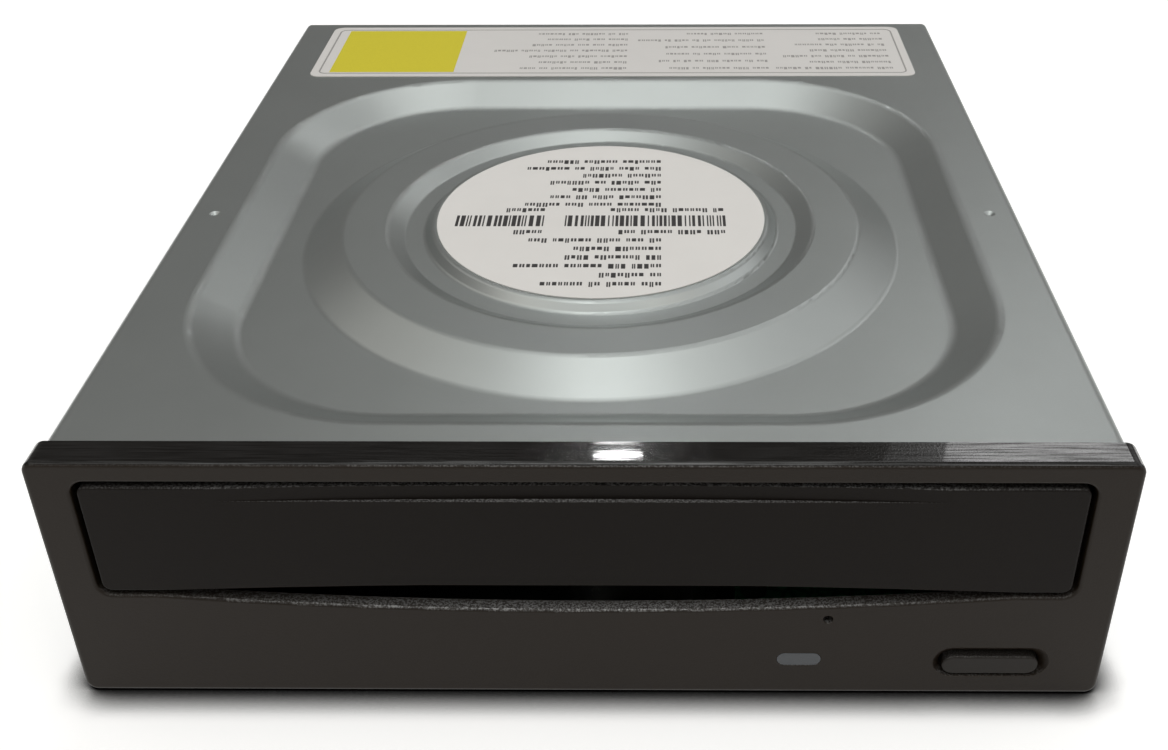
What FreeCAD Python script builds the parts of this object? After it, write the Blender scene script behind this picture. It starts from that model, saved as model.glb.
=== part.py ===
import FreeCAD, Part
import math
import os
import re

import Sketcher

# Half-height DVD writer for a computer case, tray closed, millimetres.
# X runs to the right, Y to the back and Z up; the origin is under the middle of the drive.

# Driving dimensions, one cell of the sheet each.
SIZES = {
    # steel case
    "case_width": 146.0,
    "case_depth": 165.0,
    "case_height": 41.3,
    "sheet": 0.8,
    "bend_radius": 1.4,
    # pressed recess and ring round the spindle axis
    "spindle_setback": 67.4,
    "recess_width": 126.6,
    "recess_length": 124.0,
    "recess_corner": 34.5,
    "recess_depth": 3.9,
    "recess_run": 6.6,
    "recess_lip": 3.0,
    "ring_foot": 51.5,
    "ring_crown": 44.8,
    "ring_inner": 37.0,
    "ring_sink": 0.3,
    "ring_soft": 2.0,
    "groove_outer": 34.2,
    "groove_inner": 30.8,
    "groove_depth": 1.6,
    "groove_soft": 0.9,
    "plateau_radius": 29.4,
    "dimple_radius": 1.0,
    "dimple_floor": 0.3,
    "dimple_depth": 0.45,
    "dimple_inset": 5.0,
    # labels
    "label_radius": 28.6,
    "label_thickness": 0.12,
    "rating_inset": 7.6,
    "rating_gap": 1.9,
    "rating_margin": 3.4,
    "rating_corner": 2.2,
    # mounting holes, of the 5.25 inch drive pattern
    "mount_setback": 47.4,
    "mount_pitch": 79.25,
    "mount_inset": 3.15,
    "mount_low": 10.0,
    "mount_rise": 11.84,
    "mount_radius": 1.25,
    "collar_wall": 0.9,
    "collar_length": 1.0,
    # bottom plate
    "plate_gap": 0.2,
    "flange_height": 5.7,
    "flange_setback": 11.0,
    "panel_width": 100.0,
    "panel_length": 47.0,
    "panel_setback": 45.0,
    "panel_height": 1.2,
    "panel_corner": 6.0,
    "seat_height": 1.6,
    "seat_radius": 5.5,
    "seat_play": 0.4375,
    # case screws and the bosses that they draw down
    "boss_inset": 10.2,
    "boss_front": 28.0,
    "boss_back": 12.0,
    "boss_radius": 3.5,
    "screw_radius": 1.2,
    "screw_head_radius": 3.0,
    "screw_head_height": 1.3,
    "screw_reach": 6.0,
    "screw_play": 0.1,
    # front bezel
    "bezel_depth": 5.0,
    "bezel_lap": 1.0,
    "bezel_rise": 0.7,
    "bezel_wall": 2.0,
    "bezel_rim": 1.6,
    "bezel_corner": 1.8,
    "bezel_edge": 0.8,
    "mouth_edge": 0.5,
    "scoop_inset": 3.2,
    "scoop_sag": 3.0,
    "scoop_start": 0.4,
    "hook_length": 10.0,
    "hook_width": 5.0,
    "hook_thickness": 1.0,
    "hook_gap": 0.3,
    "hook_low": 9.0,
    "hook_high": 28.0,
    "nub_setback": 6.0,
    "nub_length": 2.0,
    "nub_height": 0.8,
    # tray door
    "door_margin": 6.6,
    "door_height": 18.4,
    "door_drop": 8.4,
    "door_corner": 1.4,
    "door_gap": 0.8,
    "door_thickness": 3.4,
    "door_skin": 1.4,
    "door_arch_inset": 3.4,
    "door_arch_rise": 1.5,
    "door_ledge": 2.3,
    "door_ledge_inset": 18.4,
    "door_ledge_depth": 0.7,
    "door_edge": 0.4,
    # eject button and its switch
    "button_inset": 16.1,
    "button_z": 5.55,
    "button_length": 13.9,
    "button_height": 3.4,
    "button_sink": 0.1,
    "button_gap": 0.25,
    "button_travel": 0.8,
    "button_edge": 0.35,
    "dish_length": 16.7,
    "dish_height": 5.7,
    "dish_rise": 0.85,
    "dish_depth": 1.4,
    "button_lip": 0.9,
    "lip_thickness": 1.2,
    "lip_gap": 0.3,
    "stem_radius": 1.5,
    "stem_setback": 3.2,
    "switch_gap": 0.3,
    "switch_width": 8.0,
    "switch_setback": 4.6,
    "switch_length": 5.4,
    "switch_height": 4.4,
    "plunger_radius": 1.2,
    "plunger_length": 2.5,
    "plunger_play": 0.15,
    # activity light and emergency hole
    "light_x": 30.3,
    "light_z": 6.85,
    "light_length": 6.3,
    "light_height": 2.3,
    "light_gap": 0.08,
    "light_flange": 0.6,
    "light_setback": 1.8,
    "lamp_radius": 1.4,
    "lamp_length": 3.0,
    "lamp_gap": 0.4,
    "pin_hole_x": 34.0,
    "pin_hole_z": 14.6,
    "pin_hole_radius": 0.75,
    # disc tray
    "tray_sink": 8.5,
    "tray_thickness": 4.8,
    "tray_room": 1.5,
    "tray_back": 11.0,
    "tray_hold": 19.0,
    "tray_wall": 2.0,
    "tray_wall_drop": 7.5,
    "tray_wall_rise": 2.2,
    "tray_wall_inset": 2.0,
    "tongue_width": 3.2,
    "tongue_thickness": 1.6,
    "tongue_setback": 10.0,
    "well_radius": 60.5,
    "well_depth": 2.2,
    "small_well_radius": 40.5,
    "small_well_depth": 3.4,
    "window_radius": 17.5,
    "window_half": 22.0,
    "window_reach": 63.0,
    "notch_radius": 11.0,
    # rack and gears
    "rack_x": 52.0,
    "rack_height": 4.6,
    "rack_back": 4.0,
    "rack_spare": 10.0,
    "rack_module": 1.0,
    "pinion_teeth": 16,
    "wheel_module": 0.7,
    "wheel_teeth": 40,
    "driver_teeth": 12,
    "backlash": 0.2,
    "gear_setback": 18.0,
    "wheel_thickness": 2.2,
    "gear_gap": 0.6,
    "gear_play": 0.1,
    "post_radius": 1.5,
    "hub_wall": 2.25,
    "post_foot": 3.0,
    "pulley_radius": 11.0,
    "pulley_groove": 9.6,
    "pulley_thickness": 3.6,
    "pulley_gap": 0.8,
    "motor_pulley_radius": 4.4,
    "motor_pulley_groove": 3.0,
    "belt_width": 1.2,
    "belt_gap": 0.3,
    "belt_span": 33.8,
    # loading motor
    "motor_radius": 12.2,
    "motor_room": 1.8,
    "motor_shaft_radius": 0.75,
    "motor_shaft_depth": 3.0,
    "motor_boss_radius": 2.0,
    "motor_boss_height": 1.2,
    "motor_boss_play": 0.25,
    # main frame
    "frame_gap": 1.5,
    "frame_setback": 12.0,
    "frame_wall": 2.0,
    "frame_foot": 4.0,
    "frame_rise": 1.7,
    "deck_drop": 12.6,
    "deck_thickness": 1.8,
    "deck_lip_setback": 3.0,
    "deck_lip_inset": 1.7,
    "guide_gap": 0.3,
    "guide_thickness": 1.6,
    "guide_inset": 1.0,
    "guide_length": 108.0,
    "back_wall_drop": 2.0,
    "bearing_width": 4.0,
    "bearing_reach": 3.4,
    "bearing_gap": 4.0,
    # slide cam
    "cam_setback": 40.5,
    "cam_thickness": 2.5,
    "cam_travel": 24.0,
    "cam_margin": 2.0,
    "cam_foot_length": 7.5,
    "cam_foot_thickness": 1.5,
    "cam_gap": 0.3,
    "cam_play": 0.45,
    "cam_pin_right": 19.0,
    "cam_pin_left": 20.0,
    "cam_rail": 1.2,
    # traverse holder and its tilt
    "lift": 7.5,
    "pivot_back": 15.0,
    "pivot_rise": 2.7,
    "holder_half": 46.0,
    "holder_rail": 6.0,
    "holder_setback": 46.0,
    "holder_front_rail": 5.0,
    "holder_back_rail": 10.0,
    "holder_thickness": 5.8,
    "holder_room": 3.0,
    "trunnion_radius": 1.5,
    "trunnion_play": 0.1,
    "trunnion_end": 0.5,
    # traverse plate and its dampers
    "plate_rise": 1.5,
    "plate_thickness": 1.2,
    "plate_half": 39.0,
    "plate_front": 47.0,
    "plate_inset": 7.0,
    "ear_half": 4.0,
    "damper_front": 58.0,
    "damper_inset": 16.0,
    "damper_radius": 3.6,
    "damper_waist": 2.4,
    "damper_bore": 1.3,
    "damper_height": 4.0,
    "damper_play": 0.05,
    "shoulder_head_height": 1.4,
    "shoulder_depth": 4.5,
    # spindle
    "seat_drop": 0.6,
    "pad_thickness": 0.2,
    "pad_inner": 11.0,
    "turntable_radius": 15.0,
    "turntable_thickness": 2.4,
    "hub_radius": 7.4,
    "hub_height": 2.0,
    "hub_cone": 1.0,
    "hub_top": 5.0,
    "bell_radius": 13.5,
    "bell_wall": 0.9,
    "bell_height": 5.4,
    "shaft_radius": 1.5,
    "shaft_play": 0.1,
    "housing_radius": 4.0,
    "housing_height": 4.0,
    "housing_drop": 2.8,
    "stator_radius": 11.8,
    "stator_rise": 1.3,
    "stator_height": 3.6,
    "stator_slots": 9,
    "stator_slot_width": 2.2,
    "stator_core": 7.0,
    "base_thickness": 1.2,
    "base_half": 20.0,
    "base_front": 17.0,
    "base_back": 12.0,
    "bell_opening": 15.5,
    # pickup and its drive
    "lens_start": 22.5,
    "pickup_stop": 2.1,
    "pickup_half": 23.5,
    "pickup_front": 8.5,
    "pickup_back": 13.0,
    "pickup_top": 0.8,
    "pickup_height": 10.0,
    "pickup_gap": 1.5,
    "cap_half": 11.0,
    "cap_front": 6.5,
    "cap_back": 5.5,
    "cap_height": 3.2,
    "cap_wall": 1.0,
    "lens_radius": 2.2,
    "lens_block_half": 4.2,
    "lens_block_height": 2.2,
    "lens_proud": 0.5,
    "lens_float": 0.6,
    "rod_radius": 1.5,
    "rod_left": 28.0,
    "rod_right": 26.0,
    "rod_drop": 3.0,
    "rod_play": 0.1,
    "rod_block": 3.0,
    "rod_block_half": 3.0,
    "rod_block_front": 72.0,
    "rod_block_inset": 11.0,
    "arm_length": 5.0,
    "arm_height": 4.0,
    "screw_x": 34.0,
    "screw_drop": 4.7,
    "lead_radius": 1.4,
    "follower_half": 3.5,
    "follower_length": 10.0,
    "follower_play": 0.15,
    "sled_radius": 4.5,
    "sled_front": 52.0,
    "sled_length": 13.4,
    "sled_bore": 3.35,
    # disc clamper
    "dish_sheet": 0.6,
    "dish_wall": 39.0,
    "dish_flange": 43.0,
    "dish_hole": 12.4,
    "puck_play": 0.4,
    "puck_flange": 15.5,
    "puck_flange_height": 1.2,
    "puck_gap": 0.3,
    "puck_depth": 3.5,
    "puck_recess": 8.0,
    "puck_recess_depth": 0.7,
    "puck_floor": 1.4,
    "puck_post": 4.2,
    "magnet_inner": 4.4,
    "magnet_outer": 10.0,
    "magnet_height": 2.4,
    "yoke_height": 0.6,
    "magnet_gap": 0.1,
    # boards
    "board_rise": 4.6,
    "board_thickness": 1.2,
    "board_length": 63.0,
    "board_notch": 1.0,
    "board_margin": 4.0,
    "board_post_inset": 5.0,
    "board_post_clear": 5.0,
    "board_post_radius": 2.0,
    "board_post_front": 9.0,
    "board_post_back": 10.0,
    "front_board_left": 22.0,
    "front_board_inset": 5.2,
    "front_board_rise": 2.2,
    "front_board_front": 2.4,
    "front_board_back": 17.0,
    "front_post_inset": 3.0,
    "front_post_setback": 13.0,
    "chip_height": 1.4,
    "processor_x": 19.2,
    "processor_size": 14.4,
    "memory_x": 14.4,
    "memory_forward": 9.6,
    "memory_size": 9.6,
    "driver_x": 43.0,
    "driver_back": 7.2,
    "driver_width": 8.2,
    "driver_length": 11.5,
    "socket_height": 2.4,
    "socket_length": 19.2,
    "socket_left": 28.8,
    "socket_right": 14.4,
    "capacitor_x": 28.8,
    "capacitor_pitch": 6.0,
    "capacitor_setback": 8.0,
    "capacitor_radius": 2.0,
    "capacitor_height": 3.6,
    # power and data connector
    "plug_inset": 42.2,
    "plug_width": 41.0,
    "plug_height": 7.0,
    "plug_depth": 10.5,
    "plug_gap": 0.5,
    "plug_wall": 1.1,
    "plug_rib": 2.2,
    "data_width": 12.6,
    "socket_depth": 6.8,
    "tongue_plate": 1.3,
    "tongue_end": 1.0,
    # ribbon between the boards
    "ribbon_clear": 1.5,
    "ribbon_width": 7.5,
    "ribbon_thickness": 0.3,
    "ribbon_overlap": 4.0,
    "ribbon_flat": 13.0,
}

# Places that follow from the driving dimensions.
PLACES = {
    "front": "(bezel_depth - case_depth) / 2",
    "rear": "front + case_depth",
    "face": "front - bezel_depth",
    "inside": "case_width / 2 - sheet",
    "spindle_y": "front + spindle_setback",
    "under_top": "case_height - sheet",
    "recess_floor": "case_height - recess_depth",
    "ring_top": "case_height - ring_sink",
    "groove_floor": "ring_top - groove_depth",
    "mount_front": "front + mount_setback",
    "mount_span": "case_width - 2 * mount_inset",
    "dimple_x": "case_width / 2 - dimple_inset",
    "rating_width": "case_width - 2 * rating_inset",
    "rating_rear": "rear - rating_margin",
    "rating_front": "spindle_y + recess_length / 2 + rating_gap",
    "bottom_half": "inside - plate_gap",
    "seat_top": "sheet + seat_height",
    "boss_x": "inside - boss_inset",
    "boss_front_y": "front + boss_front",
    "boss_back_y": "rear - boss_back",
    "bezel_half": "case_width / 2 + bezel_lap",
    "bezel_top": "case_height + bezel_rise",
    "bezel_inner": "face + bezel_wall",
    "hook_outer": "inside - hook_gap",
    "hook_inner": "hook_outer - hook_thickness",
    "tray_top": "case_height - tray_sink",
    "tray_bottom": "tray_top - tray_thickness",
    "tray_half": "frame_inner - tongue_width - tray_room",
    "tray_rear": "rear - tray_back",
    "tray_travel": "case_depth - tray_back - tray_hold",
    "door_half": "bezel_half - door_margin",
    "door_arch_half": "door_half - door_arch_inset",
    "door_ledge_half": "door_half - door_ledge_inset",
    "scoop_half": "door_half - scoop_inset",
    "door_bottom": "tray_bottom - door_drop",
    "door_top": "door_bottom + door_height",
    "door_back": "face + door_thickness",
    "mouth_half": "door_half + door_gap",
    "button_x": "bezel_half - button_inset",
    "dish_z": "button_z + dish_rise",
    "mouth_bottom": "door_bottom - door_gap",
    "mouth_top": "door_top + door_gap",
    "rack_bottom": "tray_bottom - rack_height",
    "rack_teeth": "floor((tray_travel + rack_spare) / (pi * rack_module))",
    "gear_y": "front + gear_setback",
    "pinion_radius": "rack_module * pinion_teeth / 2",
    "tray_gear_x": "pinion_radius - rack_x",
    "pulley_gear_x": "tray_gear_x + wheel_module * (wheel_teeth + driver_teeth) / 2",
    "motor_x": "pulley_gear_x + belt_span",
    "wheel_top": "rack_bottom - gear_gap",
    "wheel_bottom": "wheel_top - wheel_thickness",
    "frame_half": "inside - frame_gap",
    "frame_front": "front + frame_setback",
    "frame_rear": "rear - sheet - frame_gap",
    "frame_inner": "frame_half - frame_wall",
    "frame_top": "tray_top + frame_rise",
    "deck_top": "tray_bottom - deck_drop",
    "deck_bottom": "deck_top - deck_thickness",
    "deck_lip_half": "frame_inner - deck_lip_inset",
    "motor_bottom": "sheet + motor_room",
    "pulley_bottom": "deck_top + pulley_gap",
    "pulley_top": "pulley_bottom + pulley_thickness",
    "pulley_middle": "pulley_bottom + pulley_thickness / 2",
    "guide_low": "tray_bottom - guide_gap",
    "guide_high": "tray_bottom + tongue_thickness + guide_gap",
    "pivot_y": "rear - pivot_back",
    "pivot_z": "deck_top + pivot_rise",
    "holder_front": "front + holder_setback",
    "holder_rear": "pivot_y + holder_back_rail / 2",
    "holder_bottom": "pivot_z - holder_thickness / 2",
    "holder_top": "pivot_z + holder_thickness / 2",
    "holder_inner": "holder_half - holder_rail",
    "opening_half": "holder_half + holder_room",
    "bearing_inner": "holder_half + bearing_gap",
    "bearing_outer": "bearing_inner + bearing_width",
    "cam_front": "front + cam_setback",
    "cam_back": "cam_front + cam_thickness",
    "cam_middle": "cam_front + cam_thickness / 2",
    "cam_rise": "(pivot_y - cam_middle) * tan(asin(lift / (pivot_y - spindle_y)))",
    "cam_slot": "trunnion_radius + cam_play",
    "cam_left": "cam_pin_left + cam_travel + cam_slot + cam_margin",
    "cam_right": "cam_pin_right + cam_slot + cam_margin",
    "plate_bottom": "holder_top + plate_rise",
    "plate_top": "plate_bottom + plate_thickness",
    "plate_back": "pivot_y - plate_inset",
    "damper_x": "holder_half - holder_rail / 2",
    "damper_back": "pivot_y - damper_inset",
    "disc_seat": "tray_top - seat_drop",
    "table_top": "disc_seat - pad_thickness",
    "bell_top": "table_top - turntable_thickness",
    "base_top": "plate_bottom",
    "base_bottom": "plate_bottom - base_thickness",
    "shaft_end": "base_bottom - housing_drop / 2 + shaft_play",
    "lens_y": "spindle_y + lens_start",
    "rod_block_back": "pivot_y - rod_block_inset",
    "pickup_travel": "rod_block_back - lens_y - pickup_back - pickup_stop",
    "pickup_roof": "tray_bottom - pickup_top",
    "pickup_floor": "pickup_roof - pickup_height",
    "rod_z": "plate_bottom - rod_drop",
    "screw_z": "plate_bottom - screw_drop",
    "lens_floor": "pickup_roof + lens_float",
    "dish_bottom": "recess_floor - dish_sheet",
    "puck_low": "recess_floor + puck_gap",
    "puck_bottom": "puck_low - puck_depth",
    "puck_top": "puck_low + puck_flange_height",
    "magnet_low": "puck_bottom + puck_floor + magnet_gap",
    "board_top": "board_rise + board_thickness",
    "board_rear": "rear - board_margin",
    "board_front": "board_rear - board_length",
    "board_post_x": "opening_half + board_post_clear",
    "board_half": "board_post_x + board_post_inset",
    "ribbon_right": "boss_x - boss_radius - ribbon_clear",
    "ribbon_left": "ribbon_right - ribbon_width",
    "front_board_top": "front_board_rise + board_thickness",
    "front_board_right": "inside - front_board_inset",
    "front_post_left": "front_board_left + front_post_inset",
    "front_post_right": "front_board_right - front_post_inset",
    "plug_x": "inside - plug_inset",
    "plug_top": "board_top + plug_height",
    "stem_end": "front + stem_setback",
    "plunger_end": "stem_end + switch_gap + plunger_length",
}

NAME = re.compile(r"[a-z][a-z_]*")

doc = FreeCAD.newDocument("dvd_writer")
sheet = doc.addObject("Spreadsheet::Sheet", "dims")
for row, (alias, number) in enumerate(SIZES.items(), start=1):
    sheet.set(f"A{row}", alias)
    sheet.set(f"B{row}", str(number))
    sheet.setAlias(f"B{row}", alias)
doc.recompute()


def expand(formula):
    """Write a formula in named sizes and places as one in cells of the sheet."""
    def replace(match):
        name = match.group(0)
        if name in PLACES:
            return f"({expand(PLACES[name])})"
        if name in SIZES:
            return f"dims.{name}"
        return name
    return NAME.sub(replace, formula)


def size(formula):
    """Work a formula out as a number."""
    result = sheet.evalExpression(expand(formula))
    return float(getattr(result, "Value", result))


# Outlines: each function gives a drawing step that adds one closed, fully bound loop to a sketch.

def bind(sketch, formula, kind, *where):
    index = sketch.addConstraint(Sketcher.Constraint(kind, *where, size(formula)))
    sketch.setExpression(f"Constraints[{index}]", expand(formula))


def pin(sketch, edge, end, across, up):
    """Bind a point of an edge to a place in the sketch."""
    bind(sketch, across, "DistanceX", -1, 1, edge, end)
    bind(sketch, up, "DistanceY", -1, 1, edge, end)


def point(across, up):
    return FreeCAD.Vector(size(across), size(up), 0)


def polygon(*corners):
    def draw(sketch):
        ends = corners[1:] + corners[:1]
        edges = [sketch.addGeometry(Part.LineSegment(point(*a), point(*b)))
                 for a, b in zip(corners, ends)]
        for edge, following in zip(edges, edges[1:] + edges[:1]):
            sketch.addConstraint(Sketcher.Constraint("Coincident", edge, 2, following, 1))
        for edge, corner in zip(edges, corners):
            pin(sketch, edge, 1, *corner)
    return draw


def rectangle(left, right, low, high):
    return polygon((left, low), (right, low), (right, high), (left, high))


def circle(across, up, radius):
    def draw(sketch):
        edge = sketch.addGeometry(Part.Circle(point(across, up), FreeCAD.Vector(0, 0, 1), size(radius)))
        pin(sketch, edge, 3, across, up)
        bind(sketch, radius, "Radius", edge)
    return draw


def arc_edge(sketch, centre, radius, start, stop):
    whole = Part.Circle(centre, FreeCAD.Vector(0, 0, 1), radius)
    return sketch.addGeometry(Part.ArcOfCircle(whole, math.radians(start), math.radians(stop)))


def rounded(left, right, low, high, radius):
    """A rectangle with four equal round corners."""
    def draw(sketch):
        x0, x1, y0, y1, r = (size(item) for item in (left, right, low, high, radius))
        sides = [((x0 + r, y0), (x1 - r, y0)), ((x1, y0 + r), (x1, y1 - r)),
                 ((x1 - r, y1), (x0 + r, y1)), ((x0, y1 - r), (x0, y0 + r))]
        centres = [(x1 - r, y0 + r), (x1 - r, y1 - r), (x0 + r, y1 - r), (x0 + r, y0 + r)]
        lines = []
        arcs = []
        for turn, ((start, stop), centre) in enumerate(zip(sides, centres)):
            segment = Part.LineSegment(FreeCAD.Vector(*start, 0), FreeCAD.Vector(*stop, 0))
            lines.append(sketch.addGeometry(segment))
            arcs.append(arc_edge(sketch, FreeCAD.Vector(*centre, 0), r, 90 * turn - 90, 90 * turn))
        for turn, (line, arc) in enumerate(zip(lines, arcs)):
            following = lines[(turn + 1) % 4]
            sketch.addConstraint(Sketcher.Constraint("Tangent", line, 2, arc, 1))
            sketch.addConstraint(Sketcher.Constraint("Tangent", arc, 2, following, 1))
            level = "Horizontal" if turn % 2 == 0 else "Vertical"
            sketch.addConstraint(Sketcher.Constraint(level, line))
        for arc in arcs[1:]:
            sketch.addConstraint(Sketcher.Constraint("Equal", arcs[0], arc))
        bind(sketch, low, "DistanceY", -1, 1, lines[0], 1)
        bind(sketch, right, "DistanceX", -1, 1, lines[1], 1)
        bind(sketch, high, "DistanceY", -1, 1, lines[2], 1)
        bind(sketch, left, "DistanceX", -1, 1, lines[3], 1)
        bind(sketch, radius, "Radius", arcs[0])
    return draw


def slot(first, second, radius):
    """A straight slot with round ends about two centres."""
    def draw(sketch):
        start, stop, r = point(*first), point(*second), size(radius)
        along = stop - start
        heading = math.degrees(math.atan2(along.y, along.x))
        side = FreeCAD.Vector(along.y, -along.x, 0).normalize() * r
        low = sketch.addGeometry(Part.LineSegment(start + side, stop + side))
        end = arc_edge(sketch, stop, r, heading - 90, heading + 90)
        high = sketch.addGeometry(Part.LineSegment(stop - side, start - side))
        begin = arc_edge(sketch, start, r, heading + 90, heading + 270)
        ring = [low, end, high, begin]
        for edge, following in zip(ring, ring[1:] + ring[:1]):
            sketch.addConstraint(Sketcher.Constraint("Tangent", edge, 2, following, 1))
        sketch.addConstraint(Sketcher.Constraint("Equal", begin, end))
        pin(sketch, begin, 3, *first)
        pin(sketch, end, 3, *second)
        bind(sketch, radius, "Radius", begin)
    return draw


def stadium(across, up, length, height):
    """A level slot given by its middle, its length and its height."""
    reach = f"(({length}) - ({height})) / 2"
    return slot((f"{across} - {reach}", up), (f"{across} + {reach}", up), f"({height}) / 2")


def arched(half, ends, middle, far):
    """A flat arc between two points level with each other, closed by three straight sides."""
    def draw(sketch):
        reach, sag = size(half), size(middle) - size(ends)
        across = FreeCAD.Vector(reach, size(ends), 0)
        opposite = FreeCAD.Vector(-reach, size(ends), 0)
        crown = FreeCAD.Vector(0, size(middle), 0)
        tips = (across, opposite) if sag > 0 else (opposite, across)
        arc = sketch.addGeometry(Part.Arc(tips[0], crown, tips[1]))
        outline = [tips[1], FreeCAD.Vector(tips[1].x, size(far), 0),
                   FreeCAD.Vector(tips[0].x, size(far), 0), tips[0]]
        sides = [sketch.addGeometry(Part.LineSegment(a, b)) for a, b in zip(outline, outline[1:])]
        ring = [arc] + sides
        for edge, following in zip(ring, ring[1:] + ring[:1]):
            sketch.addConstraint(Sketcher.Constraint("Coincident", edge, 2, following, 1))
        sign = "" if sag > 0 else "-"
        pin(sketch, arc, 1, f"{sign}({half})", ends)
        pin(sketch, arc, 2, f"{'-' if sag > 0 else ''}({half})", ends)
        rise = f"(({middle}) - ({ends}))"
        bind(sketch, f"(({half}) ^ 2 + {rise} ^ 2) / (2 * abs({rise}))", "Radius", arc)
        pin(sketch, sides[0], 2, f"{'-' if sag > 0 else ''}({half})", far)
        pin(sketch, sides[1], 2, f"{sign}({half})", far)
    return draw


class Piece:
    """One sub-part made of sketched features, level by level."""

    def __init__(self, label, placement=None):
        self.body = doc.addObject("PartDesign::Body", label)
        self.body.Label = label
        if placement:
            self.body.Placement = placement
        pieces.append(self.body)

    def sketch(self, plane, level, outlines, across="0", up="0"):
        drawing = self.body.newObject("Sketcher::SketchObject", "outline")
        support = next(item for item in self.body.Origin.OriginFeatures if item.Role == f"{plane}_Plane")
        drawing.AttachmentSupport = [(support, "")]
        drawing.MapMode = "FlatFace"
        out = "-" if plane == "XZ" else ""
        drawing.setExpression("AttachmentOffset.Base.z", expand(f"{out}({level})"))
        drawing.setExpression("AttachmentOffset.Base.x", expand(across))
        drawing.setExpression("AttachmentOffset.Base.y", expand(up))
        for draw in outlines:
            draw(drawing)
        return drawing

    def extrude(self, kind, plane, start, stop, outlines):
        profile = self.sketch(plane, start, outlines)
        feature = self.body.newObject(f"PartDesign::{kind}", kind.lower())
        feature.Profile = profile
        rises = size(stop) > size(start)
        length = f"({stop}) - ({start})" if rises else f"({start}) - ({stop})"
        feature.setExpression("Length", expand(length))
        along_normal = rises != (plane == "XZ")
        feature.Reversed = along_normal == (kind == "Pocket")
        return feature

    def add(self, plane, start, stop, *outlines):
        return self.extrude("Pad", plane, start, stop, outlines)

    def cut(self, plane, start, stop, *outlines):
        return self.extrude("Pocket", plane, start, stop, outlines)

    def revolve(self, across, along, *outlines):
        """Turn outlines of radius and height about an upright axis."""
        profile = self.sketch("XZ", along, outlines, across)
        feature = self.body.newObject("PartDesign::Revolution", "revolution")
        feature.Profile = profile
        feature.ReferenceAxis = (profile, ["V_Axis"])
        feature.Angle = 360
        return feature

    def loft(self, kind, plane, first, second):
        """Join two outlines, each given with its level."""
        profiles = [self.sketch(plane, level, [outline]) for level, outline in (first, second)]
        feature = self.body.newObject(f"PartDesign::{kind}Loft", "loft")
        feature.Profile = profiles[0]
        feature.Sections = profiles[1:]
        feature.Ruled = True
        return feature

    def round(self, radius, wanted):
        """Fillet the edges of the last feature that a test picks out."""
        doc.recompute()
        base = self.body.Tip
        names = [f"Edge{number}" for number, edge in enumerate(base.Shape.Edges, start=1)
                 if not edge.Degenerated and wanted(edge)]
        feature = self.body.newObject("PartDesign::Fillet", "fillet")
        feature.Base = (base, names)
        feature.setExpression("Radius", expand(radius))
        return feature

    def pattern(self, kind, original, **settings):
        feature = self.body.newObject(f"PartDesign::{kind}Pattern", "pattern")
        feature.Originals = [original]
        for name, value in settings.items():
            setattr(feature, name, value)
        self.body.Tip = feature
        return feature


def near(first, second):
    return abs(first - second) < 1e-4


def lies_at(edge, axis, formula):
    """Tell whether an edge lies whole in the plane where one coordinate has a given value."""
    box = edge.BoundBox
    level = size(formula)
    return near(getattr(box, f"{axis}Min"), level) and near(getattr(box, f"{axis}Max"), level)


def ring_at(edge, formula_radius, formula_level):
    """Tell whether an edge is a level circle of a given radius and height."""
    curve = edge.Curve
    round_edge = isinstance(curve, Part.Circle)
    return round_edge and near(curve.Radius, size(formula_radius)) and lies_at(edge, "Z", formula_level)


# Plain blocks and pins, for groups of small like pieces.

def solid(kind, sizes, place):
    item = doc.addObject(f"Part::{kind}", kind.lower())
    for name, formula in sizes.items():
        item.setExpression(name, expand(formula))
    for axis, formula in zip("xyz", place):
        item.setExpression(f"Placement.Base.{axis}", expand(formula))
    return item


def block(middle_x, middle_y, low, width, length, height):
    sizes = {"Length": width, "Width": length, "Height": height}
    return solid("Box", sizes, (f"{middle_x} - ({width}) / 2", f"{middle_y} - ({length}) / 2", low))


def post(x, y, low, high, radius):
    return solid("Cylinder", {"Radius": radius, "Height": f"({high}) - ({low})"}, (x, y, low))


def fuse(first, second):
    joined = doc.addObject("Part::Fuse", "joined")
    joined.Base = first
    joined.Tool = second
    return joined


def group(label, members, placement=None):
    whole = doc.addObject("Part::Compound", label)
    whole.Label = label
    whole.Links = members
    if placement:
        whole.Placement = placement
    pieces.append(whole)


pieces = []
SIDES = ("-1", "1")


# Steel case

def recess_outline(level, inset):
    """The square-round outline of the pressed recess, drawn in by an inset."""
    half, reach = f"recess_width / 2 - ({inset})", f"recess_length / 2 - ({inset})"
    return level, rounded(f"-({half})", half, f"spindle_y - ({reach})", f"spindle_y + {reach}",
                          f"recess_corner - ({inset})")


def side_holes(radius):
    return [circle(f"mount_front + {row} * mount_pitch", f"mount_low + {step} * mount_rise", radius)
            for row in (0, 1) for step in (0, 1)]


def hook_windows():
    return [rectangle("front + nub_setback - hook_gap", "front + nub_setback + nub_length + hook_gap",
                      f"{low} - hook_gap", f"{low} + hook_width + hook_gap")
            for low in ("hook_low", "hook_high")]


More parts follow.
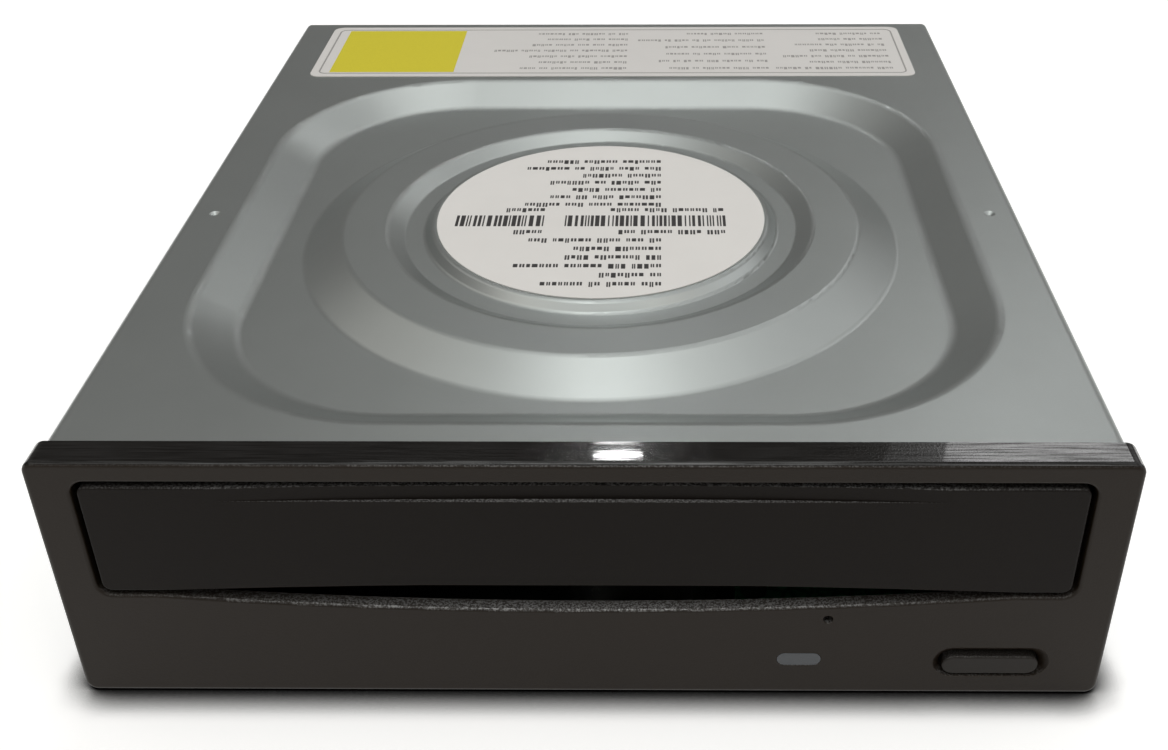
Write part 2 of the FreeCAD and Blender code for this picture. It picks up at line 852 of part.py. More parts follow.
def top_cover():
    cover = Piece("top_cover")
    cover.add("XY", "0", "case_height", rectangle("-case_width / 2", "case_width / 2", "front", "rear"))
    half = size("case_width / 2")

    def bent(edge):
        middle = edge.CenterOfMass
        on_top = lies_at(edge, "Z", "case_height") and not lies_at(edge, "Y", "front")
        return on_top or (lies_at(edge, "Y", "rear") and near(abs(middle.x), half))
    cover.round("bend_radius", bent)
    cover.cut("XY", "0", "under_top", rectangle("-inside", "inside", "front", "rear - sheet"))
    cover.loft("Additive", "XY", recess_outline("under_top", "0"),
               recess_outline("recess_floor - sheet", "recess_run"))
    cover.loft("Subtractive", "XY", recess_outline("case_height", "0"),
               recess_outline("recess_floor", "recess_run"))
    cover.cut("XY", "recess_floor", "recess_floor - sheet", circle("0", "spindle_y", "ring_foot"))
    upper = [("0", "ring_top"), ("plateau_radius", "ring_top"), ("groove_inner", "groove_floor"),
             ("groove_outer", "groove_floor"), ("ring_inner", "ring_top"), ("ring_crown", "ring_top"),
             ("ring_foot", "recess_floor")]
    lower = [(radius, f"{level} - sheet") for radius, level in reversed(upper)]
    cover.revolve("0", "spindle_y", polygon(*upper, *lower))

    def recess_edge(edge):
        inside_rim = abs(edge.CenterOfMass.x) < size("recess_width / 2") + 0.1
        on_lip = lies_at(edge, "Z", "case_height") and inside_rim and not lies_at(edge, "Y", "front")
        clear_of_back = edge.CenterOfMass.y < size("spindle_y + recess_length / 2") + 0.1
        on_floor = lies_at(edge, "Z", "recess_floor") and not isinstance(edge.Curve, Part.Circle)
        corner = ring_at(edge, "recess_corner - recess_run", "recess_floor")
        return (on_lip and clear_of_back) or on_floor or corner
    cover.round("recess_lip", recess_edge)
    cover.round("ring_soft", lambda edge: ring_at(edge, "ring_foot", "recess_floor")
                or ring_at(edge, "ring_crown", "ring_top") or ring_at(edge, "ring_inner", "ring_top"))
    cover.round("groove_soft", lambda edge: ring_at(edge, "groove_outer", "groove_floor")
                or ring_at(edge, "groove_inner", "groove_floor")
                or ring_at(edge, "plateau_radius", "ring_top"))
    for side in SIDES:
        wall, outer = f"{side} * inside", f"{side} * case_width / 2"
        collars = side_holes("mount_radius + collar_wall")
        cover.add("YZ", wall, f"{side} * (inside - collar_length)", *collars)
        cover.cut("YZ", outer, f"{side} * (inside - collar_length)", *side_holes("mount_radius"))
        cover.cut("YZ", outer, wall, *hook_windows())
    cover.cut("XZ", "rear", "rear - sheet",
              rectangle("plug_x - plug_width / 2 - plug_gap", "plug_x + plug_width / 2 + plug_gap",
                        "0", "plug_top + plug_gap"))
    for side in SIDES:
        place = f"{side} * dimple_x"
        cover.loft("Subtractive", "XY", ("case_height", circle(place, "spindle_y", "dimple_radius")),
                   ("case_height - dimple_depth", circle(place, "spindle_y", "dimple_floor")))


def at_bosses(radius):
    return [circle(f"{side} * boss_x", row, radius)
            for side in SIDES for row in ("boss_front_y", "boss_back_y")]


def bottom_holes(radius):
    return [circle(f"{side} * mount_span / 2", f"mount_front + {row} * mount_pitch", radius)
            for side in SIDES for row in (0, 1)]


def raised_panel(inset):
    half = f"panel_width / 2 - ({inset})"
    start = "front + panel_setback"
    return rounded(f"-({half})", half, f"{start} + {inset}", f"{start} + panel_length - ({inset})",
                   f"panel_corner - ({inset})")


def bottom_plate():
    plate = Piece("bottom_plate")
    back = "rear - sheet - plate_gap"
    plate.add("XY", "0", "sheet", rectangle("-bottom_half", "bottom_half", "front + plate_gap", back))
    for side in SIDES:
        edges = sorted((f"{side} * (bottom_half - sheet)", f"{side} * bottom_half"), key=size)
        plate.add("XY", "sheet", "sheet + flange_height",
                  rectangle(*edges, "front + flange_setback", f"{back} - flange_height"))
    plate.add("XY", "sheet", "sheet + panel_height", raised_panel("0"))
    plate.cut("XY", "0", "panel_height", raised_panel("sheet"))
    plate.add("XY", "sheet", "seat_top", *at_bosses("seat_radius"))
    plate.cut("XY", "0", "seat_height", *at_bosses("seat_radius - sheet"))
    plate.cut("XY", "0", "seat_top", *at_bosses("screw_radius + seat_play"))
    plate.add("XY", "sheet", "sheet + collar_length", *bottom_holes("mount_radius + collar_wall"))
    plate.cut("XY", "0", "sheet + collar_length", *bottom_holes("mount_radius"))


def case_screws():
    screws = []
    for side in SIDES:
        for row in ("boss_front_y", "boss_back_y"):
            head = post(f"{side} * boss_x", row, "seat_height - screw_head_height", "seat_height",
                        "screw_head_radius")
            shank = post(f"{side} * boss_x", row, "seat_height", "seat_top + screw_reach", "screw_radius")
            screws.append(fuse(head, shank))
    group("case_screws", screws)


def labels():
    Piece("round_label").add("XY", "ring_top", "ring_top + label_thickness",
                             circle("0", "spindle_y", "label_radius"))
    Piece("rating_label").add("XY", "case_height", "case_height + label_thickness",
                              rounded("-rating_width / 2", "rating_width / 2", "rating_front",
                                      "rating_rear", "rating_corner"))


# Front bezel, door, button and light

def front_bezel():
    bezel = Piece("front_bezel")
    bezel.add("XZ", "front", "face", rounded("-bezel_half", "bezel_half", "0", "bezel_top", "bezel_corner"))
    bezel.round("bezel_edge", lambda edge: lies_at(edge, "Y", "face"))
    bezel.cut("XZ", "front", "bezel_inner",
              rectangle("bezel_rim - bezel_half", "bezel_half - bezel_rim", "bezel_rim",
                        "bezel_top - bezel_rim"))
    bezel.cut("XZ", "face", "bezel_inner", rounded("-mouth_half", "mouth_half", "mouth_bottom", "mouth_top",
                                                  "door_corner + door_gap"))
    start = "mouth_bottom + scoop_start"
    bezel.cut("XZ", "face", "bezel_inner",
              arched("scoop_half", start, f"{start} - scoop_sag", "mouth_top - door_height / 2"))

    def mouth_rim(edge):
        middle = edge.CenterOfMass
        across = abs(middle.x) < size("mouth_half + mouth_edge")
        upright = size(f"{start} - scoop_sag - mouth_edge") < middle.z < size("mouth_top + mouth_edge")
        return lies_at(edge, "Y", "face") and across and upright
    bezel.round("mouth_edge", mouth_rim)
    button_hole = stadium("button_x", "button_z", "button_length + 2 * button_gap",
                          "button_height + 2 * button_gap")
    bezel.loft("Subtractive", "XZ", ("face", stadium("button_x", "dish_z", "dish_length", "dish_height")),
               ("face + dish_depth", button_hole))
    bezel.cut("XZ", "face", "bezel_inner",
              button_hole,
              stadium("light_x", "light_z", "light_length + 2 * light_gap", "light_height + 2 * light_gap"),
              circle("pin_hole_x", "pin_hole_z", "pin_hole_radius"))
    for side in SIDES:
        for low in ("hook_low", "hook_high"):
            high = f"{low} + hook_width"
            arm = sorted((f"{side} * hook_inner", f"{side} * hook_outer"), key=size)
            nub = sorted((f"{side} * hook_outer", f"{side} * (hook_outer + nub_height)"), key=size)
            bezel.add("XY", low, high, rectangle(*arm, "bezel_inner", "front + hook_length"))
            begin = "front + nub_setback"
            bezel.add("XY", low, high, rectangle(*nub, begin, f"{begin} + nub_length"))


def tray_door():
    door = Piece("tray_door")
    door.add("XZ", "door_back", "face",
             rounded("-door_half", "door_half", "door_bottom", "door_top", "door_corner"))
    door.round("door_edge", lambda edge: lies_at(edge, "Y", "face"))
    door.cut("XZ", "face", "face + door_skin",
             arched("door_arch_half", "door_bottom", "door_bottom + door_arch_rise", "door_bottom - sheet"))
    door.cut("XY", "door_top", "door_top - door_ledge",
             arched("door_ledge_half", "face", "face + door_ledge_depth", "face - sheet"))


def eject_button():
    button = Piece("eject_button")
    lip = "bezel_inner + lip_gap"
    button.add("XZ", lip, "face + button_sink",
               stadium("button_x", "button_z", "button_length", "button_height"))
    button.round("button_edge", lambda edge: lies_at(edge, "Y", "face + button_sink"))
    button.add("XZ", lip, f"{lip} + lip_thickness",
               stadium("button_x", "button_z", "button_length + 2 * button_lip",
                       "button_height + 2 * button_lip"))
    button.add("XZ", f"{lip} + lip_thickness", "stem_end", circle("button_x", "button_z", "stem_radius"))


def activity_light():
    light = Piece("activity_light")
    light.add("XZ", "front + light_setback", "face",
              stadium("light_x", "light_z", "light_length", "light_height"))
    light.add("XZ", "bezel_inner", "bezel_inner + light_flange",
              stadium("light_x", "light_z", "light_length + 2 * light_flange",
                      "light_height + 2 * light_flange"))


# Disc tray

def disc_tray():
    tray = Piece("disc_tray")
    tray.add("XY", "tray_bottom", "tray_top",
             rectangle("-tray_half", "tray_half", "door_back", "tray_rear"))
    for side in SIDES:
        tongue = sorted((f"{side} * tray_half", f"{side} * (tray_half + tongue_width)"), key=size)
        tray.add("XY", "tray_bottom", "tray_bottom + tongue_thickness",
                 rectangle(*tongue, "front + tongue_setback", "tray_rear"))
    tray.add("XZ", "door_back", "door_back + tray_wall",
             rectangle("tray_wall_inset - tray_half", "tray_half - tray_wall_inset",
                       "tray_bottom - tray_wall_drop", "tray_top + tray_wall_rise"))
    tray.cut("XY", "tray_top", "tray_top - well_depth", circle("0", "spindle_y", "well_radius"))
    tray.cut("XY", "tray_top", "tray_top - small_well_depth", circle("0", "spindle_y", "small_well_radius"))
    for side in SIDES:
        tray.cut("XY", "tray_top", "tray_top - well_depth",
                 circle(f"{side} * well_radius * cos(45)", "spindle_y - well_radius * sin(45)",
                        "notch_radius"))
    tray.cut("XY", "tray_top", "tray_bottom", circle("0", "spindle_y", "window_radius"))
    tray.cut("XY", "tray_top", "tray_bottom",
             rectangle("-window_half", "window_half", "spindle_y", "spindle_y + window_reach"))
    root, pitch = "-rack_x - 1.25 * rack_module", "pi * rack_module"
    start = f"tray_rear - rack_teeth * {pitch}"
    tray.add("XY", "tray_bottom", "rack_bottom",
             rectangle(f"{root} - rack_back", root, start, "tray_rear"))
    tip = "rack_module - rack_x"
    middle = f"{start} + {pitch} / 2"
    half_pitch = f"({pitch} / 4 - backlash / 2)"
    wide, narrow = (f"({half_pitch} + {depth} * rack_module * tan(20))" for depth in ("1.25", "-1"))
    tooth = tray.add("XY", "tray_bottom", "rack_bottom",
                     polygon((root, f"{middle} - {wide}"), (tip, f"{middle} - {narrow}"),
                             (tip, f"{middle} + {narrow}"), (root, f"{middle} + {wide}")))
    length = size(f"(rack_teeth - 1) * {pitch}")
    tray.pattern("Linear", tooth, Direction=(tooth.Profile[0], ["V_Axis"]), Length=length,
                 Occurrences=int(size("rack_teeth")))


# Loading drive

def gear_outline(teeth, module, thinning):
    """Corners of a spur gear: root, pitch and tip points of each involute flank, 20 degree pressure."""
    pressure = math.radians(20)
    pitch = module * teeth / 2
    base = pitch * math.cos(pressure)
    half_tooth = math.pi / (2 * teeth) - thinning / (2 * pitch)

    def half_angle(radius):
        slope = math.acos(min(1, base / radius))
        return half_tooth + math.tan(pressure) - pressure - math.tan(slope) + slope
    levels = [max(pitch - 1.25 * module, 0.1), base + 0.1 * module, pitch, pitch + module]
    flank = [(radius, half_angle(max(radius, base))) for radius in levels]
    corners = []
    for tooth in range(teeth):
        middle = 2 * math.pi * tooth / teeth
        corners += [(radius, middle - turn) for radius, turn in flank]
        corners += [(radius, middle + turn) for radius, turn in reversed(flank)]
    return [FreeCAD.Vector(radius * math.cos(turn), radius * math.sin(turn), 0) for radius, turn in corners]


def gear(teeth, module, low, high, turn=0):
    """A toothed disc about the Z axis between two levels."""
    corners = gear_outline(int(size(teeth)), size(module), size("backlash"))
    face = Part.Face(Part.makePolygon(corners + corners[:1]))
    face.rotate(FreeCAD.Vector(), FreeCAD.Vector(0, 0, 1), turn)
    face.translate(FreeCAD.Vector(0, 0, size(low)))
    return face.extrude(FreeCAD.Vector(0, 0, size(high) - size(low)))


def turned(*corners):
    """A solid of revolution about the Z axis, from corners of radius and height."""
    points = [FreeCAD.Vector(size(radius), 0, size(level)) for radius, level in corners]
    outline = Part.Face(Part.makePolygon(points + points[:1]))
    return outline.revolve(FreeCAD.Vector(), FreeCAD.Vector(0, 0, 1))


def shaped(label, shape, x="0", y="0"):
    """A sub-part whose solid is worked out here and set at a place."""
    item = doc.addObject("Part::Feature", label)
    item.Label = label
    item.Shape = shape
    item.Placement = FreeCAD.Placement(FreeCAD.Vector(size(x), size(y), 0), FreeCAD.Rotation())
    pieces.append(item)


def pulley_corners(bore, rim, groove, low, high):
    """A grooved rim round a bore, with sloping groove walls."""
    middle = f"(({low}) + ({high})) / 2"
    return [(bore, low), (rim, low),
            (rim, f"{middle} - belt_width"), (groove, f"{middle} - belt_width / 2"),
            (groove, f"{middle} + belt_width / 2"), (rim, f"{middle} + belt_width"),
            (rim, high), (bore, high)]


def tray_gear():
    bore = "post_radius + gear_play"
    hub = turned((bore, "wheel_bottom"), ("hub_wall + post_radius", "wheel_bottom"),
                 ("hub_wall + post_radius", "rack_bottom"), (bore, "rack_bottom"))
    hole = Part.makeCylinder(size(bore), size("case_height"))
    wheel = gear("wheel_teeth", "wheel_module", "wheel_bottom", "wheel_top").cut(hole)
    # A gap of the pinion stands on the nearest tooth of the rack.
    pitch = size("pi * rack_module")
    first = size("tray_rear - rack_teeth * pi * rack_module") + pitch / 2
    offset = (size("gear_y") - first) / pitch
    turn = 180 + (offset - math.floor(offset) + 0.5) * 360 / size("pinion_teeth")
    pinion = gear("pinion_teeth", "rack_module", "rack_bottom", "tray_bottom - pulley_gap", turn).cut(hole)
    shaped("tray_gear", wheel.fuse([hub, pinion]).removeSplitter(), "tray_gear_x", "gear_y")


def pulley_gear():
    bore = "post_radius + gear_play"
    hole = Part.makeCylinder(size(bore), size("case_height"))
    rim = turned(*pulley_corners(bore, "pulley_radius", "pulley_groove", "pulley_bottom", "pulley_top"))
    # The driver has a tooth gap where the wheel has a tooth, on the line of centres.
    turn = 180 - 180 / size("driver_teeth")
    driver = gear("driver_teeth", "wheel_module", "pulley_top", "wheel_top", turn).cut(hole)
    shaped("pulley_gear", rim.fuse(driver).removeSplitter(), "pulley_gear_x", "gear_y")


def motor_pulley():
    shaft = "deck_bottom - motor_shaft_depth"
    rim = pulley_corners("0", "motor_pulley_radius", "motor_pulley_groove", "pulley_bottom", "pulley_top")
    rim[0] = ("motor_shaft_radius", "pulley_bottom")
    shaped("motor_pulley", turned(("0", shaft), ("motor_shaft_radius", shaft), *rim), "motor_x", "gear_y")


def belt_wire(extra):
    """The closed line round both pulleys: two arcs and their common tangents."""
    large, small = size(f"pulley_groove + {extra}"), size(f"motor_pulley_groove + {extra}")
    span = size("belt_span")
    lean = math.acos((large - small) / span)

    def on(centre, radius, turn):
        return FreeCAD.Vector(centre + radius * math.cos(turn), radius * math.sin(turn), 0)
    ends = [on(0, large, lean), on(0, large, -lean), on(span, small, -lean), on(span, small, lean)]
    arcs = [Part.Arc(ends[0], on(0, large, math.pi), ends[1]),
            Part.Arc(ends[2], on(span, small, 0), ends[3])]
    lines = [Part.LineSegment(ends[1], ends[2]), Part.LineSegment(ends[3], ends[0])]
    return Part.Wire([arcs[0].toShape(), lines[0].toShape(), arcs[1].toShape(), lines[1].toShape()])


def drive_belt():
    loop = Part.Face(belt_wire("belt_gap + belt_width")).cut(Part.Face(belt_wire("belt_gap")))
    loop.translate(FreeCAD.Vector(0, 0, size("pulley_middle - belt_width / 2")))
    shaped("drive_belt", loop.extrude(FreeCAD.Vector(0, 0, size("belt_width"))).Solids[0],
           "pulley_gear_x", "gear_y")


def loading_motor():
    motor = Piece("loading_motor")
    bore = "motor_shaft_radius + gear_play"
    motor.add("XY", "motor_bottom", "deck_bottom", circle("motor_x", "gear_y", "motor_radius"))
    motor.add("XY", "deck_bottom", "deck_bottom + motor_boss_height",
              circle("motor_x", "gear_y", "motor_boss_radius"))
    motor.cut("XY", "deck_bottom + motor_boss_height", "deck_bottom - motor_shaft_depth - gear_play",
              circle("motor_x", "gear_y", bore))


# Main frame and slide cam

def main_frame():
    frame = Piece("main_frame")
    frame.add("XY", "deck_bottom", "deck_top",
              rectangle("-frame_half", "frame_half", "frame_front", "frame_rear"))
    frame.add("XY", "deck_bottom", "deck_top",
              rectangle("-deck_lip_half", "deck_lip_half", "front + deck_lip_setback", "frame_front"))
    frame.cut("XY", "deck_top", "deck_bottom",
              rectangle("-opening_half", "opening_half",
                        "cam_front - cam_gap", "holder_rear + bearing_gap / 2"),
              circle("motor_x", "gear_y", "motor_boss_radius + motor_boss_play"))
    for side in SIDES:
        wall = sorted((f"{side} * frame_inner", f"{side} * frame_half"), key=size)
        frame.add("XY", "frame_foot", "frame_top", rectangle(*wall, "frame_front", "frame_rear"))
        guide = sorted((f"{side} * (tray_half + guide_inset)", f"{side} * frame_inner"), key=size)
        run = rectangle(*guide, "frame_front", "frame_front + guide_length")
        frame.add("XY", "guide_low - guide_thickness", "guide_low", run)
        frame.add("XY", "guide_high", "guide_high + guide_thickness", run)
        bearing = sorted((f"{side} * bearing_inner", f"{side} * bearing_outer"), key=size)
        frame.add("XY", "deck_top", "pivot_z + bearing_reach",
                  rectangle(*bearing, "pivot_y - bearing_reach", "pivot_y + bearing_reach"))
        frame.cut("YZ", f"{side} * bearing_outer", f"{side} * bearing_inner",
                  circle("pivot_y", "pivot_z", "trunnion_radius + trunnion_play"))
    frame.add("XY", "deck_top", "tray_bottom - back_wall_drop",
              rectangle("-frame_half", "frame_half", "frame_rear - frame_wall", "frame_rear"))
    frame.add("XY", "deck_bottom", "seat_top", *at_bosses("boss_radius"))
    frame.add("XY", "deck_top", "wheel_bottom", circle("tray_gear_x", "gear_y", "post_foot"))
    frame.add("XY", "deck_top", "pulley_bottom", circle("pulley_gear_x", "gear_y", "post_foot"))
    frame.add("XY", "deck_top", "tray_bottom - gear_gap", circle("tray_gear_x", "gear_y", "post_radius"))
    frame.add("XY", "deck_top", "wheel_top + gear_gap / 2",
              circle("pulley_gear_x", "gear_y", "post_radius"))
    rail = "cam_front - cam_foot_length - cam_gap"
    frame.add("XY", "deck_top", "deck_top + cam_gap + cam_foot_thickness",
              rectangle("-frame_inner", "frame_inner", f"{rail} - cam_rail", rail))
    board_rows = ("board_front + board_post_front", "rear - board_post_back")
    frame.add("XY", "deck_bottom", "board_top",
              *[circle(f"{side} * board_post_x", row, "board_post_radius")
                for side in SIDES for row in board_rows])
    frame.add("XY", "deck_bottom", "front_board_top",
              *[circle(x, "front + front_post_setback", "board_post_radius")
                for x in ("front_post_left", "front_post_right")])
    frame.cut("XY", "seat_top", "seat_top + screw_reach + screw_play",
              *at_bosses("screw_radius + screw_play / 2"))


def slide_cam():
    cam = Piece("slide_cam")
    low, high = "pivot_z - cam_rise", "pivot_z"
    cam.add("XZ", "cam_back", "cam_front",
            rectangle("-cam_left", "cam_right", f"{low} - cam_slot - cam_margin",
                      f"{high} + cam_slot + cam_margin"))
    cam.cut("XZ", "cam_front", "cam_back",
            *[slot((x, low), (f"{x} - cam_travel", high), "cam_slot")
              for x in ("cam_pin_right", "-cam_pin_left")])
    foot = "deck_top + cam_gap"
    cam.add("XY", foot, f"{foot} + cam_foot_thickness",
            rectangle("-cam_left", "cam_right", "cam_front - cam_foot_length", "cam_front"))


# Traverse: modelled level, then turned down about its pivot, as it lies with the tray free to move

def lowered():
    turn = math.degrees(math.asin(size("lift / (pivot_y - spindle_y)")))
    pivot = FreeCAD.Vector(0, size("pivot_y"), size("pivot_z"))
    axis = FreeCAD.Rotation(FreeCAD.Vector(1, 0, 0), turn)
    return FreeCAD.Placement(FreeCAD.Vector(), axis, pivot)


LOWERED = lowered()
DAMPER_ROWS = ("front + damper_front", "damper_back")


def at_dampers(radius):
    return [circle(f"{side} * damper_x", row, radius) for side in SIDES for row in DAMPER_ROWS]


def traverse_holder():
    holder = Piece("traverse_holder", LOWERED)
    holder.add("XY", "holder_bottom", "holder_top",
               rectangle("-holder_half", "holder_half", "holder_front", "holder_rear"))
    holder.cut("XY", "holder_top", "holder_bottom",
               rectangle("-holder_inner", "holder_inner", "holder_front + holder_front_rail",
                         "holder_rear - holder_back_rail"))
    holder.cut("XY", "holder_top", "holder_top - shoulder_depth", *at_dampers("screw_radius + damper_play"))
    for side in SIDES:
        holder.add("YZ", f"{side} * holder_half", f"{side} * (bearing_outer - trunnion_end)",
                   circle("pivot_y", "pivot_z", "trunnion_radius"))
    holder.add("XZ", "holder_front", "cam_front",
               *[circle(x, "pivot_z", "trunnion_radius") for x in ("cam_pin_right", "-cam_pin_left")])


def traverse_plate():
    plate = Piece("traverse_plate", LOWERED)
    plate.add("XY", "plate_bottom", "plate_top",
              rectangle("-plate_half", "plate_half", "front + plate_front", "plate_back"))
    ears = [rectangle(f"{side} * damper_x - ear_half", f"{side} * damper_x + ear_half",
                      f"{row} - ear_half", f"{row} + ear_half") for side in SIDES for row in DAMPER_ROWS]
    plate.add("XY", "plate_bottom", "plate_top", *ears)
    plate.cut("XY", "plate_top", "plate_bottom", *at_dampers("damper_waist + damper_play"))
    plate.cut("XY", "plate_top", "plate_bottom", circle("0", "spindle_y", "bell_opening"))
    plate.cut("XY", "plate_top", "plate_bottom",
              rectangle("-(pickup_half + pickup_gap)", "pickup_half + pickup_gap", "spindle_y",
                        "lens_y + pickup_travel + pickup_back + pickup_gap"))
    mounts = [("-rod_left", "rod_z", "rod_radius", "front + rod_block_front"),
              ("rod_right", "rod_z", "rod_radius", "front + rod_block_front"),
              ("-rod_left", "rod_z", "rod_radius", "rod_block_back"),
              ("rod_right", "rod_z", "rod_radius", "rod_block_back"),
              ("screw_x", "screw_z", "lead_radius", "rod_block_back")]
    for x, level, radius, begin in mounts:
        end = f"{begin} + rod_block"
        plate.add("XZ", begin, end,
                  rectangle(f"{x} - rod_block_half", f"{x} + rod_block_half", f"{level} - rod_block_half",
                            "plate_bottom"))
        plate.cut("XZ", begin, end, circle(x, level, f"{radius} + damper_play"))


def damper_bushes():
    bushes = []
    low, high = "holder_top", "holder_top + damper_height"
    for side in SIDES:
        for row in DAMPER_ROWS:
            bush = turned(("damper_bore", low), ("damper_radius", low), ("damper_radius", "plate_bottom"),
                          ("damper_waist", "plate_bottom"), ("damper_waist", "plate_top"),
                          ("damper_radius", "plate_top"), ("damper_radius", high), ("damper_bore", high))
            bush.translate(FreeCAD.Vector(size(f"{side} * damper_x"), size(row), 0))
            bushes.append(bush)
    shaped("damper_bushes", Part.makeCompound(bushes))
    pieces[-1].Placement = LOWERED


def damper_screws():
    screws = []
    top = "holder_top + damper_height"
    for side in SIDES:
        for row in DAMPER_ROWS:
            head = post(f"{side} * damper_x", row, top, f"{top} + shoulder_head_height",
                        "screw_head_radius")
            shank = post(f"{side} * damper_x", row, "holder_top - shoulder_depth", top, "screw_radius")
            screws.append(fuse(head, shank))
    group("damper_screws", screws, LOWERED)


def spindle_motor():
    motor = Piece("spindle_motor", LOWERED)
    motor.add("XY", "base_bottom", "base_top",
              rectangle("-base_half", "base_half", "spindle_y - base_front", "spindle_y + base_back"))
    motor.add("XY", "base_bottom - housing_drop", "base_top + housing_height",
              circle("0", "spindle_y", "housing_radius"))
    motor.cut("XY", "base_top + housing_height", "shaft_end - shaft_play",
              circle("0", "spindle_y", "shaft_radius + shaft_play"))


def spindle_stator():
    stator = Piece("spindle_stator", LOWERED)
    low, high = "base_top + stator_rise", "base_top + stator_rise + stator_height"
    core = stator.revolve("0", "spindle_y",
                          rectangle("housing_radius + shaft_play", "stator_radius", low, high))
    gap = stator.cut("XY", high, low,
                     rectangle("-stator_slot_width / 2", "stator_slot_width / 2",
                               "spindle_y + stator_core", "spindle_y + stator_radius + stator_slot_width"))
    doc.recompute()
    stator.pattern("Polar", gap, Axis=(core.Profile[0], ["V_Axis"]), Angle=360,
                   Occurrences=int(size("stator_slots")))


def turntable():
    table = Piece("turntable", LOWERED)
    hub = "table_top + hub_height"
    roof = "bell_top - bell_wall"
    table.revolve("0", "spindle_y", polygon(
        ("0", "shaft_end"), ("shaft_radius", "shaft_end"),
        ("shaft_radius", roof), ("bell_radius - bell_wall", roof),
        ("bell_radius - bell_wall", "bell_top - bell_height"), ("bell_radius", "bell_top - bell_height"),
        ("bell_radius", "bell_top"), ("turntable_radius", "bell_top"), ("turntable_radius", "table_top"),
        ("hub_radius", "table_top"), ("hub_radius", f"{hub} - hub_cone"), ("hub_top", hub), ("0", hub)))
    pad = Piece("turntable_pad", LOWERED)
    pad.add("XY", "table_top", "disc_seat", circle("0", "spindle_y", "turntable_radius - pad_thickness"),
            circle("0", "spindle_y", "pad_inner"))


def pickup_body():
    pickup = Piece("pickup_body", LOWERED)
    begin, end = "lens_y - pickup_front", "lens_y + pickup_back"
    pickup.add("XY", "pickup_floor", "pickup_roof", rectangle("-pickup_half", "pickup_half", begin, end))
    rods = [("-rod_left", "-1"), ("rod_right", "1")]
    for x, side in rods:
        for low in (begin, f"{end} - arm_length"):
            arm = sorted((f"{side} * pickup_half", f"{x} + {side} * rod_block_half"), key=size)
            pickup.add("XZ", low, f"{low} + arm_length",
                       rectangle(*arm, "rod_z - arm_height / 2", "rod_z + arm_height / 2"))
        pickup.cut("XZ", begin, end, circle(x, "rod_z", "rod_radius + rod_play"))
    rim = rectangle("-cap_half", "cap_half", "lens_y - cap_front", "lens_y + cap_back")
    pickup.add("XY", "pickup_roof", "pickup_roof + cap_height", rim)
    pickup.cut("XY", "pickup_roof + cap_height", "pickup_roof",
               rectangle("cap_wall - cap_half", "cap_half - cap_wall", "lens_y - cap_front + cap_wall",
                         "lens_y + cap_back - cap_wall"))


def lens_holder():
    holder = Piece("lens_holder", LOWERED)
    holder.add("XY", "lens_floor", "lens_floor + lens_block_height",
               rectangle("-2 * lens_block_half", "2 * lens_block_half", "lens_y - lens_block_half",
                         "lens_y + cap_back - cap_wall - lens_float / 2"))
    top = "lens_floor + lens_block_height"
    holder.revolve("0", "lens_y", polygon(("0", top), ("lens_radius", top),
                                          ("lens_radius", f"{top} + lens_proud / 2"),
                                          ("lens_radius / 2", f"{top} + lens_proud"),
                                          ("0", f"{top} + lens_proud")))


def guide_rods():
    begin, end = "front + rod_block_front", "rod_block_back + rod_block"
    for label, x in (("left_guide_rod", "-rod_left"), ("right_guide_rod", "rod_right")):
        Piece(label, LOWERED).add("XZ", begin, end, circle(x, "rod_z", "rod_radius"))


def sled_drive():
    start, end = "front + sled_front", "front + sled_front + sled_length"
    motor = Piece("sled_motor", LOWERED)
    motor.add("XZ", start, end, circle("screw_x", "screw_z", "sled_radius"))
    motor.cut("XZ", end, f"{end} - sled_bore", circle("screw_x", "screw_z", "lead_radius + rod_play"))
    screw = Piece("lead_screw", LOWERED)
    screw.add("XZ", f"{end} - sled_bore + rod_play", "rod_block_back + rod_block",
              circle("screw_x", "screw_z", "lead_radius"))
    follower = Piece("screw_follower", LOWERED)
    begin = "lens_y + pickup_back - follower_length"
    follower.add("XZ", begin, f"{begin} + follower_length",
                 rectangle("rod_right + rod_block_half", "screw_x + follower_half",
                           "screw_z - follower_half", "screw_z + follower_half"))
    follower.cut("XZ", begin, f"{begin} + follower_length",
                 circle("screw_x", "screw_z", "lead_radius + follower_play"))


# Disc clamper under the plateau

def clamper():
    dish = Piece("clamper_dish")
    rim = "ring_top - sheet"
    dish.revolve("0", "spindle_y", polygon(
        ("dish_hole", "dish_bottom"), ("dish_wall", "dish_bottom"), ("dish_wall", f"{rim} - dish_sheet"),
        ("dish_flange", f"{rim} - dish_sheet"), ("dish_flange", rim), ("dish_wall - dish_sheet", rim),
        ("dish_wall - dish_sheet", "recess_floor"), ("dish_hole", "recess_floor")))
    puck = Piece("clamper_puck")
    neck, floor = "dish_hole - puck_play", "puck_bottom + puck_floor"
    pocket = "magnet_outer + magnet_gap"
    puck.revolve("0", "spindle_y", polygon(
        ("0", "puck_bottom + puck_recess_depth"), ("puck_recess", "puck_bottom + puck_recess_depth"),
        ("puck_recess", "puck_bottom"), (neck, "puck_bottom"), (neck, "puck_low"),
        ("puck_flange", "puck_low"), ("puck_flange", "puck_top"), (pocket, "puck_top"), (pocket, floor),
        ("puck_post", floor), ("puck_post", "puck_top"), ("0", "puck_top")))
    rings = (circle("0", "spindle_y", "magnet_outer"), circle("0", "spindle_y", "magnet_inner"))
    middle = "magnet_low + magnet_height"
    Piece("clamper_magnet").add("XY", "magnet_low", middle, *rings)
    Piece("clamper_yoke").add("XY", middle, f"{middle} + yoke_height", *rings)


# Boards, connector and ribbon

